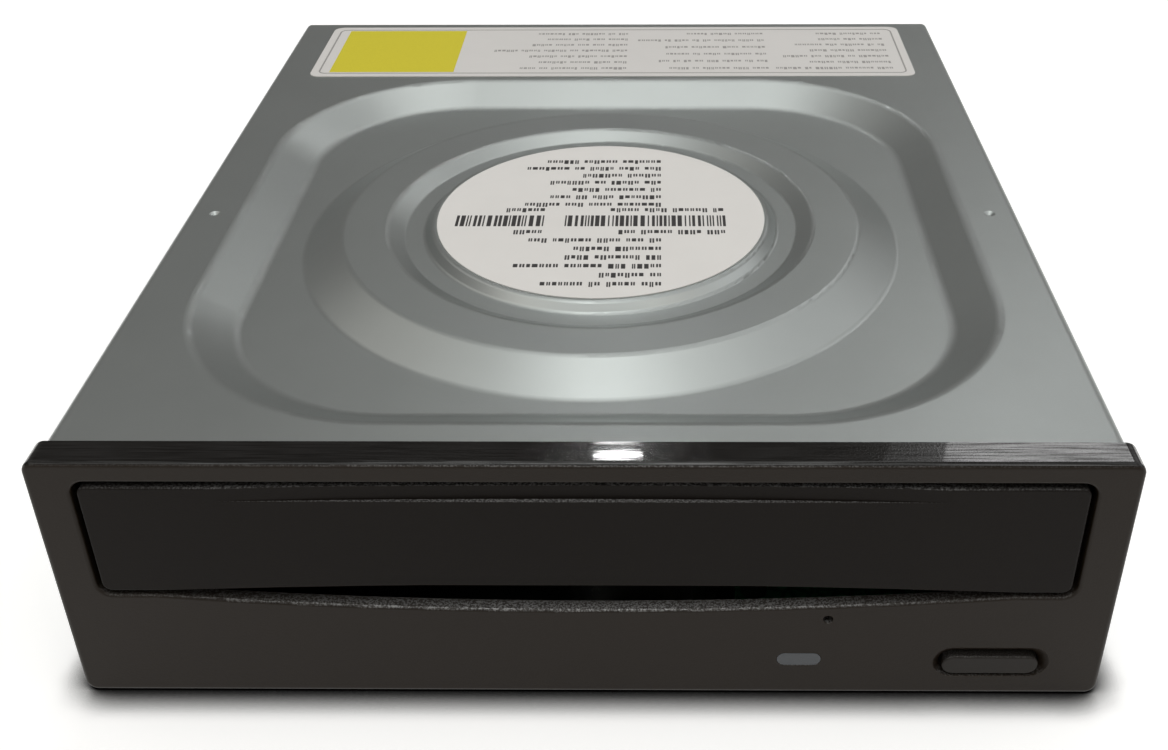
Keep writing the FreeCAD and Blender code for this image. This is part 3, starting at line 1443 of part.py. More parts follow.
def main_board():
    board = Piece("main_board")
    board.add("XY", "board_rise", "board_top",
              rectangle("-board_half", "board_half", "board_front", "board_rear"))
    board.cut("XY", "board_top", "board_rise",
              *[circle(f"{side} * boss_x", "boss_back_y", "boss_radius + board_notch") for side in SIDES])
    middle = "(board_front + board_rear) / 2"
    chips = [("-processor_x", middle, "processor_size", "processor_size"),
             ("memory_x", f"{middle} - memory_forward", "memory_size", "memory_size"),
             ("-driver_x", f"{middle} + driver_back", "driver_width", "driver_length")]
    group("board_chips", [block(x, y, "board_top", width, length, "chip_height")
                          for x, y, width, length in chips])
    row = "board_rear - capacitor_setback"
    group("board_capacitors", [post(f"{step} * capacitor_pitch - capacitor_x", row, "board_top",
                                    "board_top + capacitor_height", "capacitor_radius")
                               for step in range(4)])
    group("ribbon_sockets", [block(x, "board_front + socket_height", "board_top", "socket_length",
                                   "2 * socket_height", "socket_height")
                             for x in ("-socket_left", "socket_right")])


def data_connector():
    plug = Piece("data_connector")
    left, right = "plug_x - plug_width / 2", "plug_x + plug_width / 2"
    plug.add("XZ", "rear", "rear - plug_depth", rectangle(left, right, "board_top", "plug_top"))
    data_left = f"{right} - plug_wall - data_width"
    low, high = "board_top + plug_wall", "plug_top - plug_wall"
    sockets = [(data_left, f"{right} - plug_wall"), (f"{left} + plug_wall", f"{data_left} - plug_rib")]
    plug.cut("XZ", "rear", "rear - socket_depth",
             *[rectangle(start, stop, low, high) for start, stop in sockets])
    shelf = "board_top + plug_height / 2"
    for start, stop in sockets:
        begin, end = f"{start} + tongue_end", f"{stop} - tongue_end"
        plug.add("XZ", "rear - socket_depth", "rear - tongue_end",
                 polygon((begin, shelf), (end, shelf), (end, f"{shelf} + tongue_plate"),
                         (f"{begin} + tongue_plate", f"{shelf} + tongue_plate"),
                         (f"{begin} + tongue_plate", f"{high} - tongue_end / 2"),
                         (begin, f"{high} - tongue_end / 2")))


def front_board():
    board = Piece("front_board")
    board.add("XY", "front_board_rise", "front_board_top",
              rectangle("front_board_left", "front_board_right", "front + front_board_front",
                        "front + front_board_back"))
    switch = Piece("eject_switch")
    begin = "front + switch_setback"
    switch.add("XY", "front_board_top", "front_board_top + switch_height",
               rectangle("button_x - switch_width / 2", "button_x + switch_width / 2", begin,
                         f"{begin} + switch_length"))
    switch.cut("XZ", begin, "plunger_end + button_travel + plunger_play",
               circle("button_x", "button_z", "plunger_radius + plunger_play"))
    plunger = Piece("switch_plunger")
    plunger.add("XZ", "stem_end + switch_gap", "plunger_end",
                circle("button_x", "button_z", "plunger_radius"))
    lamp = Piece("status_lamp")
    glow = "front + light_setback + lamp_gap"
    lamp.add("XZ", glow, f"{glow} + lamp_length", circle("light_x", "light_z", "lamp_radius"))
    lamp.add("XY", "front_board_top", "light_z",
             rectangle("light_x - lamp_radius", "light_x + lamp_radius", f"{glow} + lamp_length / 3",
                       f"{glow} + lamp_length"))


def board_ribbon():
    ribbon = Piece("board_ribbon")
    begin, end = "front + front_board_back - ribbon_overlap", "board_front + ribbon_overlap"
    line = [(begin, "front_board_top"), (f"{begin} + ribbon_flat", "front_board_top"),
            (f"{end} - ribbon_flat", "board_top"), (end, "board_top")]
    back = [(y, f"{level} + ribbon_thickness") for y, level in reversed(line)]
    ribbon.add("YZ", "ribbon_left", "ribbon_right", polygon(*line, *back))


top_cover()
bottom_plate()
case_screws()
labels()
front_bezel()
tray_door()
eject_button()
activity_light()
disc_tray()
tray_gear()
pulley_gear()
motor_pulley()
drive_belt()
loading_motor()
main_frame()
slide_cam()
traverse_holder()
traverse_plate()
damper_bushes()
damper_screws()
spindle_motor()
spindle_stator()
turntable()
pickup_body()
lens_holder()
guide_rods()
sled_drive()
clamper()
main_board()
data_connector()
front_board()
board_ribbon()
doc.recompute()

failed = [item.Label for item in doc.Objects if {"Invalid", "Error"} & set(item.State)]
failed += [piece.Label for piece in pieces if piece.Shape.isNull() or not piece.Shape.isValid()]
if failed:
    raise RuntimeError(f"these did not build: {failed}")
os.makedirs("parts", exist_ok=True)
for piece in pieces:
    piece.Shape.exportStep(f"parts/{piece.Label}.step")
print(f"{len(pieces)} sub-parts written")
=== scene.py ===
# %% [markdown]
# # A disc drive, from frame to finish
# The drive arrives as a finished assembly of solids: a pressed steel cover, a moulded bezel, a tray and
# the mechanism behind it. This lesson never moves a solid. It gives each one a finish, and adds the
# small pieces that a drawing leaves out, such as print on the labels and contacts in the connector.

# %% Load the frame
import math
import random

import bmesh
import bpy
from mathutils import Matrix, Vector


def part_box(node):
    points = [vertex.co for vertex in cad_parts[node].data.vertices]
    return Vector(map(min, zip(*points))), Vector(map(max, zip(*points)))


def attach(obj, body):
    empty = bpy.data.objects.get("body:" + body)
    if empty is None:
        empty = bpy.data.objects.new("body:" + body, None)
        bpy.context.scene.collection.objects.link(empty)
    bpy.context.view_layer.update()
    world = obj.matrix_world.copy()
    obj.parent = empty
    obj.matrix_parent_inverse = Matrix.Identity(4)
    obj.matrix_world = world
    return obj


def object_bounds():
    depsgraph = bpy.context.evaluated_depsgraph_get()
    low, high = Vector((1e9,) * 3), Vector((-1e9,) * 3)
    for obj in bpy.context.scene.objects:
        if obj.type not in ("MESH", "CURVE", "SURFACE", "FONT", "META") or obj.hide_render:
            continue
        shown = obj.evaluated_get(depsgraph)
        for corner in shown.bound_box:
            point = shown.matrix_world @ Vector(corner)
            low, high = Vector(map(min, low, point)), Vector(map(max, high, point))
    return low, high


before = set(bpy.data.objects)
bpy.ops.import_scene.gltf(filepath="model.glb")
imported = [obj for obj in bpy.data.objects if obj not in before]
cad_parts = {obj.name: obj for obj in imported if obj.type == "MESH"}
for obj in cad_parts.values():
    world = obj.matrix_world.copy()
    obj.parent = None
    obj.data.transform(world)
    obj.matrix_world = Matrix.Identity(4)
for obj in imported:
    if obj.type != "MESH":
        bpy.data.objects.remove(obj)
cad_low, cad_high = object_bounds()
MM = 0.001
scene = bpy.context.scene
scene.view_settings.view_transform = "Standard"
print("solids:", len(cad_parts), "size in mm:", [round(v / MM, 2) for v in cad_high - cad_low])

# %% [markdown]
# ## The camera
# The picture was taken from in front and above, close enough for the back of the cover to look about
# half as wide as the front. A camera is found from a few corners of known size: its place, its turn, its
# focal length in pixels, and the pixel that lies straight ahead of the lens. The last one becomes the
# shift, because a picture that was cropped has its middle somewhere else.

# %% Set up the camera
PICTURE_WIDTH = 1168
PICTURE_HEIGHT = 750
FOCAL_PIXELS = 1371.2
AHEAD_PIXEL = (643.66, 325.0)
CAMERA_PLACE = Vector((10.13, -226.95, 152.22)) * MM
CAMERA_TURN = (57.9935, 0.2996, 0.5526)
SENSOR_WIDTH = 36
NEAREST_SEEN = 10 * MM

camera_data = bpy.data.cameras.new("camera")
camera_data.sensor_width = SENSOR_WIDTH
camera_data.lens = FOCAL_PIXELS * SENSOR_WIDTH / PICTURE_WIDTH
camera_data.shift_x = (PICTURE_WIDTH / 2 - AHEAD_PIXEL[0]) / PICTURE_WIDTH
camera_data.shift_y = (AHEAD_PIXEL[1] - PICTURE_HEIGHT / 2) / PICTURE_WIDTH
camera_data.clip_start = NEAREST_SEEN
camera = bpy.data.objects.new("camera", camera_data)
camera.location = CAMERA_PLACE
camera.rotation_euler = [math.radians(angle) for angle in CAMERA_TURN]
scene.collection.objects.link(camera)
scene.camera = camera
print("lens", round(camera_data.lens, 2), "mm")

# %% [markdown]
# ## Nodes by hand
# A material is a small graph. A few helpers keep the graphs readable: one places a node and fills in its
# sockets by name, one starts a material and hands back its Principled shader, and two more map a value to
# another range and multiply two values.

# %% Helpers for node graphs
def place(tree, kind, links=(), **values):
    """Adds a node, sets its sockets or properties by name, and wires outputs into its inputs."""
    made = tree.nodes.new(kind)
    for name, value in values.items():
        title = name.replace("_", " ")
        if title in made.inputs:
            made.inputs[title].default_value = value
        else:
            setattr(made, name, value)
    for source, socket in links:
        tree.links.new(source, made.inputs[socket])
    return made


def new_material(name, **values):
    """A material with a Principled shader, whose constant values go straight onto its sockets."""
    material = bpy.data.materials.new(name)
    material.use_nodes = True
    shader = material.node_tree.nodes["Principled BSDF"]
    for socket, value in values.items():
        shader.inputs[socket.replace("_", " ")].default_value = value
    return material, material.node_tree, shader


def spread(tree, source, low, high, start=0.0, end=1.0):
    """Maps a value from start..end to low..high."""
    return place(tree, "ShaderNodeMapRange", [(source, "Value")],
                 From_Min=start, From_Max=end, To_Min=low, To_Max=high).outputs["Result"]


def product(tree, first, second):
    """Multiplies two values, such as masks that both have to hold."""
    return place(tree, "ShaderNodeMath", [(first, 0), (second, 1)], operation="MULTIPLY").outputs[0]


def grey(level, warmth=0.0):
    """A grey with its alpha, a little redder than blue where it is warm."""
    return (level * (1 + warmth), level, level * (1 - warmth), 1.0)


print("helpers ready")

# %% [markdown]
# ## The floor and the light
# Steel and polished plastic are seen by what they reflect. The room has broad soft panels overhead and a
# little towards the viewer, which the slopes of the pressed ring and the back wall of the recess mirror.
# One just behind the middle gives the front of the ring its brightest spot. A pale side wall and a window
# on the right lift that side of the cover. A small round lamp, with a slim one behind it, shows as a
# glint on the polished strip. Together they light a white surface at a little under its own colour.
#
# The floor adds some white of its own to what the camera and mirrors see, and more of it where the lamps
# don't reach, so the background is white. Close to the object it is darkened by how much of the sky the
# object hides, as the shadow in a narrow gap is.

# %% Floor
FLOOR_SIZE = 30.0
FLOOR_DROP = 0.02 * MM
PAINT_RANGE = (0.91, 0.93)
FLOOR_GLOW = 0.38
FAR_GLOW = 0.85
LIT_REACH = 0.5
DARK_REACH = 1.6
SHADOW_REACH = 6.6 * MM
OPEN_SKY = (0.47, 0.95)

floor_shape = bmesh.new()
bmesh.ops.create_grid(floor_shape, x_segments=2, y_segments=2, size=FLOOR_SIZE / 2)
bmesh.ops.translate(floor_shape, verts=floor_shape.verts, vec=(0, 0, cad_low.z - FLOOR_DROP))
floor_mesh = bpy.data.meshes.new("floor")
floor_shape.to_mesh(floor_mesh)
floor_shape.free()
floor = bpy.data.objects.new("floor", floor_mesh)
scene.collection.objects.link(floor)
print("floor at z =", round(cad_low.z / MM, 3), "mm")

# %% Floor paint
floor_material, tree, shader = new_material("floor_paint", Roughness=0.9, Specular_IOR_Level=0.1)
spot = place(tree, "ShaderNodeTexCoord").outputs["Object"]
rays = place(tree, "ShaderNodeLightPath").outputs
sky = place(tree, "ShaderNodeAmbientOcclusion", Distance=SHADOW_REACH, samples=16).outputs["AO"]
open_part = spread(tree, sky, 0.0, 1.0, *OPEN_SKY)
dimmed = place(tree, "ShaderNodeMix",
               [(rays["Is Camera Ray"], 0), (product(tree, open_part, open_part), 3)], data_type="FLOAT")
dimmed.inputs[2].default_value = 1.0
shadow = dimmed.outputs[0]

tint = place(tree, "ShaderNodeTexNoise", [(spot, "Vector")], Scale=0.5).outputs["Fac"]
paint = spread(tree, tint, *PAINT_RANGE)
tree.links.new(product(tree, paint, shadow), shader.inputs["Base Color"])

seen = rays["Is Camera Ray"]
for kind in ("Is Glossy Ray", "Is Transmission Ray"):
    seen = place(tree, "ShaderNodeMath", [(seen, 0), (rays[kind], 1)], operation="MAXIMUM").outputs[0]
away = place(tree, "ShaderNodeVectorMath", [(spot, 0)], operation="LENGTH").outputs["Value"]
white = spread(tree, away, FLOOR_GLOW, FAR_GLOW, LIT_REACH, DARK_REACH)
shader.inputs["Emission Color"].default_value = grey(1.0)
tree.links.new(product(tree, product(tree, seen, shadow), white), shader.inputs["Emission Strength"])
floor_mesh.materials.append(floor_material)
print("floor paint:", len(tree.nodes), "nodes")

# %% Walls and lamps
WALL_LEVEL = 0.20
WALL_WARMTH = 0.03
LAMP_DISTANCE = 1.2
WHITE = (1, 1, 1)
COOL = (0.99, 1.0, 0.98)
WARM = (1.0, 0.96, 0.90)
COVER_MIDDLE = (0, 0, cad_high.z)

world = bpy.data.worlds.new("room")
world.use_nodes = True
world.node_tree.nodes["Background"].inputs["Color"].default_value = grey(WALL_LEVEL, WALL_WARMTH)
scene.world = world


def panel(name, way, size, radiance, colour=WHITE, distance=LAMP_DISTANCE, target=COVER_MIDDLE,
          shape="RECTANGLE"):
    """A flat lamp that faces the target. The way to it is an azimuth and an elevation in degrees, and
    radiance is what a mirror would show of it."""
    azimuth, elevation = (math.radians(angle) for angle in way)
    width, height = size
    lamp_data = bpy.data.lights.new(name, "AREA")
    lamp_data.shape = shape
    lamp_data.size = width
    lamp_data.size_y = height
    area = width * height * (math.pi / 4 if shape == "ELLIPSE" else 1)
    lamp_data.energy = radiance * math.pi * area
    lamp_data.color = colour
    lamp = bpy.data.objects.new(name, lamp_data)
    outward = Vector((math.sin(azimuth) * math.cos(elevation), math.cos(azimuth) * math.cos(elevation),
                      math.sin(elevation)))
    lamp.location = Vector(target) + outward * distance
    lamp.rotation_euler = (-outward).to_track_quat("-Z", "Y").to_euler()
    lamp.visible_camera = False
    scene.collection.objects.link(lamp)


panel("overhead", (180, 78), (1.5, 1.15), 0.50, COOL)
panel("overhead_front", (180, 62), (0.9, 0.4), 1.25, COOL)
panel("overhead_middle", (0, 89), (0.6, 0.5), 0.86, COOL)
panel("overhead_back", (0, 68), (0.42, 0.30), 1.8, COOL)
panel("back_high", (0, 50), (0.6, 0.3), 0.52, COOL)
panel("ceiling_lamp", (184, 75), (0.24, 0.20), 4.7, COOL)
panel("side_wall", (85, 30), (1.0, 0.65), 0.9)
panel("side_high", (75, 60), (0.6, 0.5), 0.48)
panel("back_wall", (36, 44), (0.7, 0.55), 0.42)
panel("back_low", (50, 22), (0.7, 0.45), 0.29, distance=1.4)
panel("left_wall", (285, 45), (0.8, 0.7), 0.45, WARM)
panel("left_front", (240, 45), (0.6, 0.5), 1.1, WARM)
panel("right_front", (130, 45), (0.6, 0.5), 1.0, WARM)
panel("front_fill", (195, 32), (1.4, 0.8), 0.42, WARM, distance=1.4)
print("broad lamps:", len(bpy.data.lights))

# %% Lamps that the strip mirrors
GLINT_X = -4 * MM
WINDOW_X = 60 * MM
strip_front = cad_low.y + 1.4 * MM
strip_back = cad_low.y + 4.5 * MM

panel("window", (19.2, 36.0), (0.23, 0.10), 4.1, distance=1.6,
      target=(WINDOW_X, strip_front, cad_high.z))
panel("round_lamp", (-1.6, 37.4), (0.05, 0.0075), 90.0, shape="ELLIPSE",
      target=(GLINT_X, strip_front, cad_high.z))
panel("slim_lamp", (-1.6, 36.85), (0.05, 0.0018), 70.0, shape="ELLIPSE",
      target=(GLINT_X, strip_back, cad_high.z))
print("lamps:", [lamp.name for lamp in bpy.data.lights])

# %% [markdown]
# ## Effects that several finishes share
# Moulded and rolled surfaces are never even. One group gives a fine grain, slow patches and a grain that
# is pulled along one way, all from noise in the object's own coordinates, counted in millimetres. Another
# finds edges by comparing the true normal with one that is rounded over a small radius. The finishes
# lighten the edges it finds: on steel as the bare sheared edge, and on plastic partly as wear and partly
# as a painted highlight.

# %% Shared groups
FLOAT = "NodeSocketFloat"
VECTOR = "NodeSocketVector"
EDGE_LIKENESS = (0.98, 0.80)


def new_group(name, inputs, outputs):
    """An empty shader group with named sockets. An input also has a starting value."""
    group = bpy.data.node_groups.new(name, "ShaderNodeTree")
    for title, kind, start in inputs:
        socket = group.interface.new_socket(title, in_out="INPUT", socket_type=kind)
        socket.default_value = start
    for title, kind in outputs:
        group.interface.new_socket(title, in_out="OUTPUT", socket_type=kind)
    return group, group.nodes.new("NodeGroupInput"), group.nodes.new("NodeGroupOutput")


GRAIN, given, result = new_group(
    "surface grain",
    [("Grain Size", FLOAT, 0.3), ("Patch Size", FLOAT, 30.0), ("Stretch", VECTOR, (1, 1, 1))],
    [("Grain", FLOAT), ("Patches", FLOAT), ("Flow", FLOAT)])
spot = place(GRAIN, "ShaderNodeTexCoord").outputs["Object"]
in_mm = place(GRAIN, "ShaderNodeVectorMath", [(spot, 0)], operation="SCALE", Scale=1 / MM).outputs[0]
pulled = place(GRAIN, "ShaderNodeVectorMath", [(in_mm, 0), (given.outputs["Stretch"], 1)],
               operation="MULTIPLY").outputs[0]
for title, size_name, source, detail in (("Grain", "Grain Size", in_mm, 2.0),
                                         ("Patches", "Patch Size", in_mm, 4.0),
                                         ("Flow", "Grain Size", pulled, 3.0)):
    scale = place(GRAIN, "ShaderNodeMath", [(given.outputs[size_name], 1)], operation="DIVIDE")
    scale.inputs[0].default_value = 1.0
    cloud = place(GRAIN, "ShaderNodeTexNoise", [(source, "Vector"), (scale.outputs[0], "Scale")],
                  Detail=detail, Roughness=0.6)
    GRAIN.links.new(cloud.outputs["Fac"], result.inputs[title])

EDGES, given, result = new_group("edge finder", [("Radius", FLOAT, 0.4 * MM)], [("Edge", FLOAT)])
rounded = place(EDGES, "ShaderNodeBevel", [(given.outputs["Radius"], "Radius")], samples=4)
geometry = place(EDGES, "ShaderNodeNewGeometry")
likeness = place(EDGES, "ShaderNodeVectorMath",
                 [(rounded.outputs["Normal"], 0), (geometry.outputs["Normal"], 1)],
                 operation="DOT_PRODUCT").outputs["Value"]
EDGES.links.new(spread(EDGES, likeness, 0.0, 1.0, *EDGE_LIKENESS), result.inputs["Edge"])
print("groups:", [group.name for group in bpy.data.node_groups])

# %% Helpers for finishes
MIDDLE_NOISE = (0.3, 0.7)


def use_group(tree, group, **values):
    """Places a shared group in a material with its own values."""
    made = tree.nodes.new("ShaderNodeGroup")
    made.node_tree = group
    for name, value in values.items():
        made.inputs[name.replace("_", " ")].default_value = value
    return made


def blend_colours(tree, mask, first, second):
    """A colour that goes from first to second with a mask. Either may be a socket or a value."""
    mixed = place(tree, "ShaderNodeMix", [(mask, 0)], data_type="RGBA")
    for socket, value in ((6, first), (7, second)):
        if isinstance(value, bpy.types.NodeSocket):
            tree.links.new(value, mixed.inputs[socket])
        else:
            mixed.inputs[socket].default_value = value
    return mixed.outputs[2]


def blend_values(tree, mask, first, second):
    """A value that goes from first to second with a mask. The second may be a socket or a number."""
    mixed = place(tree, "ShaderNodeMix", [(mask, 0), (first, 2)], data_type="FLOAT")
    if isinstance(second, bpy.types.NodeSocket):
        tree.links.new(second, mixed.inputs[3])
    else:
        mixed.inputs[3].default_value = second
    return mixed.outputs[0]


def shade(colour, factor):
    """A colour made lighter or darker, with its alpha."""
    return tuple(min(1.0, channel * factor) for channel in colour) + (1.0,)


def uneven(tree, noise, value):
    """A value that wanders by a tenth either way with a noise."""
    return spread(tree, noise, value * 0.9, value * 1.1, *MIDDLE_NOISE)


def bump(tree, shader, height, depth):
    """Feeds a height into the shader's normal. Depth is how tall the relief is, in metres."""
    relief = place(tree, "ShaderNodeBump", [(height, "Height")], Strength=1.0, Distance=depth)
    tree.links.new(relief.outputs["Normal"], shader.inputs["Normal"])


print("finish helpers ready")

# %% [markdown]
# ## Steel
# The cover is zinc-coated sheet. The coil was rolled, so its skin has a fine satin grain and
# slow cloudy patches, and where the sheet was sheared the bare edge is brighter. The inner brackets are
# the same kind of sheet without the soft skin, and ground rods are smooth along their length.

# %% Steel finishes
CLOUD_SIZE = 26.0
SHEARED_RADIUS = 0.25 * MM
SHEARED_SHARE = 0.25
SHEARED_SHINE = 1.35


def steel(name, colour, rough, grain_size=0.35, stretch=(1, 1, 1), grain_depth=0.6e-6, patch=0.05):
    """Bare or coated metal, cloudy by the share in patch."""
    material, tree, shader = new_material(name, Metallic=1.0)
    grain = use_group(tree, GRAIN, Grain_Size=grain_size, Patch_Size=CLOUD_SIZE, Stretch=stretch)
    mottle = spread(tree, grain.outputs["Patches"], 0, 1, *MIDDLE_NOISE)
    clouds = blend_colours(tree, mottle, shade(colour, 1 - patch), shade(colour, 1 + patch))
    edges = use_group(tree, EDGES, Radius=SHEARED_RADIUS)
    worn = spread(tree, edges.outputs["Edge"], 0.0, SHEARED_SHARE)
    base = blend_colours(tree, worn, clouds, shade(colour, SHEARED_SHINE))
    tree.links.new(base, shader.inputs["Base Color"])
    tree.links.new(uneven(tree, grain.outputs["Flow"], rough), shader.inputs["Roughness"])
    bump(tree, shader, grain.outputs["Flow"], grain_depth)
    return material


STEELS = {
    "case_steel": steel("zinc_sheet", (0.430, 0.456, 0.450), 0.38, grain_size=0.25, patch=0.03),
    "inner_steel": steel("inner_sheet", (0.60, 0.60, 0.59), 0.30, stretch=(0.08, 1, 1)),
    "ground_steel": steel("ground_rod", (0.72, 0.72, 0.72), 0.14, stretch=(1, 0.05, 1), patch=0.02),
    "screw_steel": steel("zinc_screw", (0.62, 0.60, 0.55), 0.24, grain_size=0.2, patch=0.04),
    "cast_metal": steel("die_cast", (0.50, 0.50, 0.50), 0.46, grain_size=0.5, grain_depth=4e-6),
}
print("steels:", list(STEELS))

# %% [markdown]
# ## Moulded plastic
# The bezel and the door are black plastic with a fine spark-eroded grain on the front. The narrow strip
# on top of the bezel was left polished by the mould, so it mirrors the room, in streaks. The mask for it
# comes from the surface itself: what faces straight up, above a given level, is polished. Slopes and
# rounded edges that face the ceiling get a painted sparkle: the tips of their grain are lightened in the
# base colour, most in the middle of the front, under the small lamp. Both get a clear coat, whose weight
# follows the masks.

# %% Masks for the painted sparkle and the polished strip
SLOPES = (0.35, 0.70)
GRAIN_TIPS = (0.46, 0.58)
BETWEEN_TIPS = 0.15
# The painted sparkle is strongest in the middle of the front, under the small lamp, and fades towards the
# ends.
PAINTED_SPARKLE_REACH = (12 * MM, 58 * MM)
PAINTED_SPARKLE_AT_ENDS = 0.2
STRIP_SLOPES = (0.55, 0.72)
STRIP_FADE = 0.1 * MM


def along(tree, source, axis):
    """One coordinate of a vector."""
    return place(tree, "ShaderNodeSeparateXYZ", [(source, "Vector")]).outputs[axis]


def upward(tree):
    """How far the surface faces up: 1 on a level top, 0 on a wall."""
    return along(tree, place(tree, "ShaderNodeNewGeometry").outputs["Normal"], "Z")


def coat_and_painted_sparkle(tree, grain, sparkle):
    """Where the sparkle is painted and coated: the tips of the grain on slopes that face the ceiling,
    most in the middle of the front, under the small lamp.
    """
    slope = spread(tree, upward(tree), 0.0, 1.0, *SLOPES)
    tips = spread(tree, grain.outputs["Grain"], BETWEEN_TIPS * sparkle, sparkle, *GRAIN_TIPS)
    across = along(tree, place(tree, "ShaderNodeTexCoord").outputs["Object"], "X")
    aside = place(tree, "ShaderNodeMath", [(across, 0)], operation="ABSOLUTE").outputs[0]
    under_the_lamp = spread(tree, aside, 1.0, PAINTED_SPARKLE_AT_ENDS, *PAINTED_SPARKLE_REACH)
    return product(tree, product(tree, slope, tips), under_the_lamp)


def strip_mask(tree, level):
    """What faces up and lies above a level, in metres."""
    height = along(tree, place(tree, "ShaderNodeTexCoord").outputs["Object"], "Z")
    high = spread(tree, height, 0.0, 1.0, level - STRIP_FADE, level)
    return product(tree, spread(tree, upward(tree), 0.0, 1.0, *STRIP_SLOPES), high)


print("masks ready")

# %% Moulded finishes
MOULD_PATCHES = 18.0
MOULD_STREAKS = (0.03, 1, 1)
EDGE_WEAR_AND_HIGHLIGHT_RADIUS = 0.3 * MM
COAT_ROUGH = 0.03
# Base colour of the painted sparkle on the tips of the grain.
PAINTED_SPARKLE = grey(0.24)
STREAK_NOISE = (0.40, 0.58)
STREAK_COAT = (0.15, 0.75)
STRIP_ROUGH = 0.04
STRIP_SHADE = 0.15


def moulded(name, colour, rough, grain_size=0.22, grain_depth=6e-6, specular=0.35, patch=0.12,
            edge_wear_and_highlight=1.8, sparkle=0.0, polished_above=None):
    """Grained plastic, with edges lightened as wear and as a painted highlight. Sparkle is how strongly
    the tips of its grain get a painted highlight and a coat, and above a level it may be polished.
    """
    material, tree, shader = new_material(name, Specular_IOR_Level=specular, Coat_Roughness=COAT_ROUGH)
    grain = use_group(tree, GRAIN, Grain_Size=grain_size, Patch_Size=MOULD_PATCHES, Stretch=MOULD_STREAKS)
    base = blend_colours(tree, grain.outputs["Patches"], shade(colour, 1 - patch),
                         shade(colour, 1 + patch))
    edges = use_group(tree, EDGES, Radius=EDGE_WEAR_AND_HIGHLIGHT_RADIUS)
    # Lighter edges: partly wear, partly a painted highlight along each edge.
    base = blend_colours(tree, edges.outputs["Edge"], base, shade(colour, edge_wear_and_highlight))
    dull = uneven(tree, grain.outputs["Grain"], rough)
    if sparkle:
        # Painted sparkle: the tips of the grain on slopes facing the ceiling get a light base colour, and
        # a coat.
        coat = coat_and_painted_sparkle(tree, grain, sparkle)
        base = blend_colours(tree, coat, base, PAINTED_SPARKLE)
        if polished_above is not None:
            strip = strip_mask(tree, polished_above)
            streaks = spread(tree, grain.outputs["Flow"], *STREAK_COAT, *STREAK_NOISE)
            coat = blend_values(tree, strip, coat, streaks)
            dull = blend_values(tree, strip, dull, STRIP_ROUGH)
            base = blend_colours(tree, strip, base, shade(colour, STRIP_SHADE))
        tree.links.new(coat, shader.inputs["Coat Weight"])
    tree.links.new(base, shader.inputs["Base Color"])
    tree.links.new(dull, shader.inputs["Roughness"])
    bump(tree, shader, grain.outputs["Grain"], grain_depth)
    return material


STRIP_LEVEL = cad_high.z - 0.5 * MM
PLASTICS = {
    "bezel_plastic": moulded("bezel_black", (0.0138, 0.0093, 0.0056), 0.42, grain_size=0.3,
                             grain_depth=18e-6, specular=0.20, sparkle=1.0, polished_above=STRIP_LEVEL),
    "door_plastic": moulded("door_black", (0.0075, 0.0057, 0.0045), 0.44, grain_size=0.3,
                            grain_depth=18e-6, specular=0.10, sparkle=1.0),
    "button_plastic": moulded("button_black", (0.0140, 0.0112, 0.0088), 0.40, specular=0.22, sparkle=0.7),
    "frame_plastic": moulded("frame_black", (0.020, 0.020, 0.021), 0.48, grain_size=0.5),
    "tray_plastic": moulded("tray_black", (0.022, 0.022, 0.023), 0.36, grain_size=0.3, grain_depth=3e-6),
    "gear_plastic": moulded("gear_nylon", (0.78, 0.75, 0.68), 0.38, grain_size=0.6, patch=0.03,
                            edge_wear_and_highlight=1.05),
    "soft_rubber": moulded("rubber_black", (0.020, 0.020, 0.020), 0.68, grain_size=0.4, specular=0.25),
    "chip_resin": moulded("chip_resin", (0.020, 0.020, 0.022), 0.50, grain_size=0.15),
    "magnet_black": moulded("coated_magnet", (0.09, 0.09, 0.095), 0.30, grain_size=0.4),
}
print("plastics:", list(PLASTICS))

# %% [markdown]
# ## Paper, film, laminate and the light's lens
# The labels are coated paper, faintly mottled, with flat ink on top. The circuit boards show their copper
# tracks under green lacquer, and the ribbon shows its conductors as stripes. The lens of the light is a
# smoky plastic.

# %% Other finishes
LACQUER_DARK = (0.012, 0.075, 0.035, 1)
LACQUER_LIGHT = (0.02, 0.105, 0.05, 1)
LACQUER_ON_COPPER = (0.03, 0.16, 0.075, 1)
RIBBON_FILM = (0.62, 0.60, 0.54, 1)
CONDUCTOR = (0.36, 0.36, 0.35, 1)
SMOKE = (0.038, 0.044, 0.051)


def paper(name, colour):
    """Coated paper, faintly mottled."""
    material, tree, shader = new_material(name, Roughness=0.55, Specular_IOR_Level=0.4)
    grain = use_group(tree, GRAIN, Grain_Size=0.25, Patch_Size=9.0)
    mottle = blend_colours(tree, grain.outputs["Patches"], shade(colour, 0.96), shade(colour, 1.02))
    tree.links.new(mottle, shader.inputs["Base Color"])
    bump(tree, shader, grain.outputs["Grain"], 3e-6)
    return material


def laminate(name):
    """Green lacquer, raised and lighter over the copper tracks."""
    material, tree, shader = new_material(name, Roughness=0.32)
    grain = use_group(tree, GRAIN, Grain_Size=0.7, Patch_Size=14.0)
    spot = place(tree, "ShaderNodeTexCoord").outputs["Object"]
    tracks = place(tree, "ShaderNodeTexVoronoi", [(spot, "Vector")],
                   Scale=420.0, feature="DISTANCE_TO_EDGE", Randomness=0.85)
    copper = spread(tree, tracks.outputs["Distance"], 1.0, 0.0, 0.10, 0.16)
    lacquer = blend_colours(tree, grain.outputs["Patches"], LACQUER_DARK, LACQUER_LIGHT)
    base = blend_colours(tree, copper, LACQUER_ON_COPPER, lacquer)
    tree.links.new(base, shader.inputs["Base Color"])
    bump(tree, shader, copper, 15e-6)
    return material


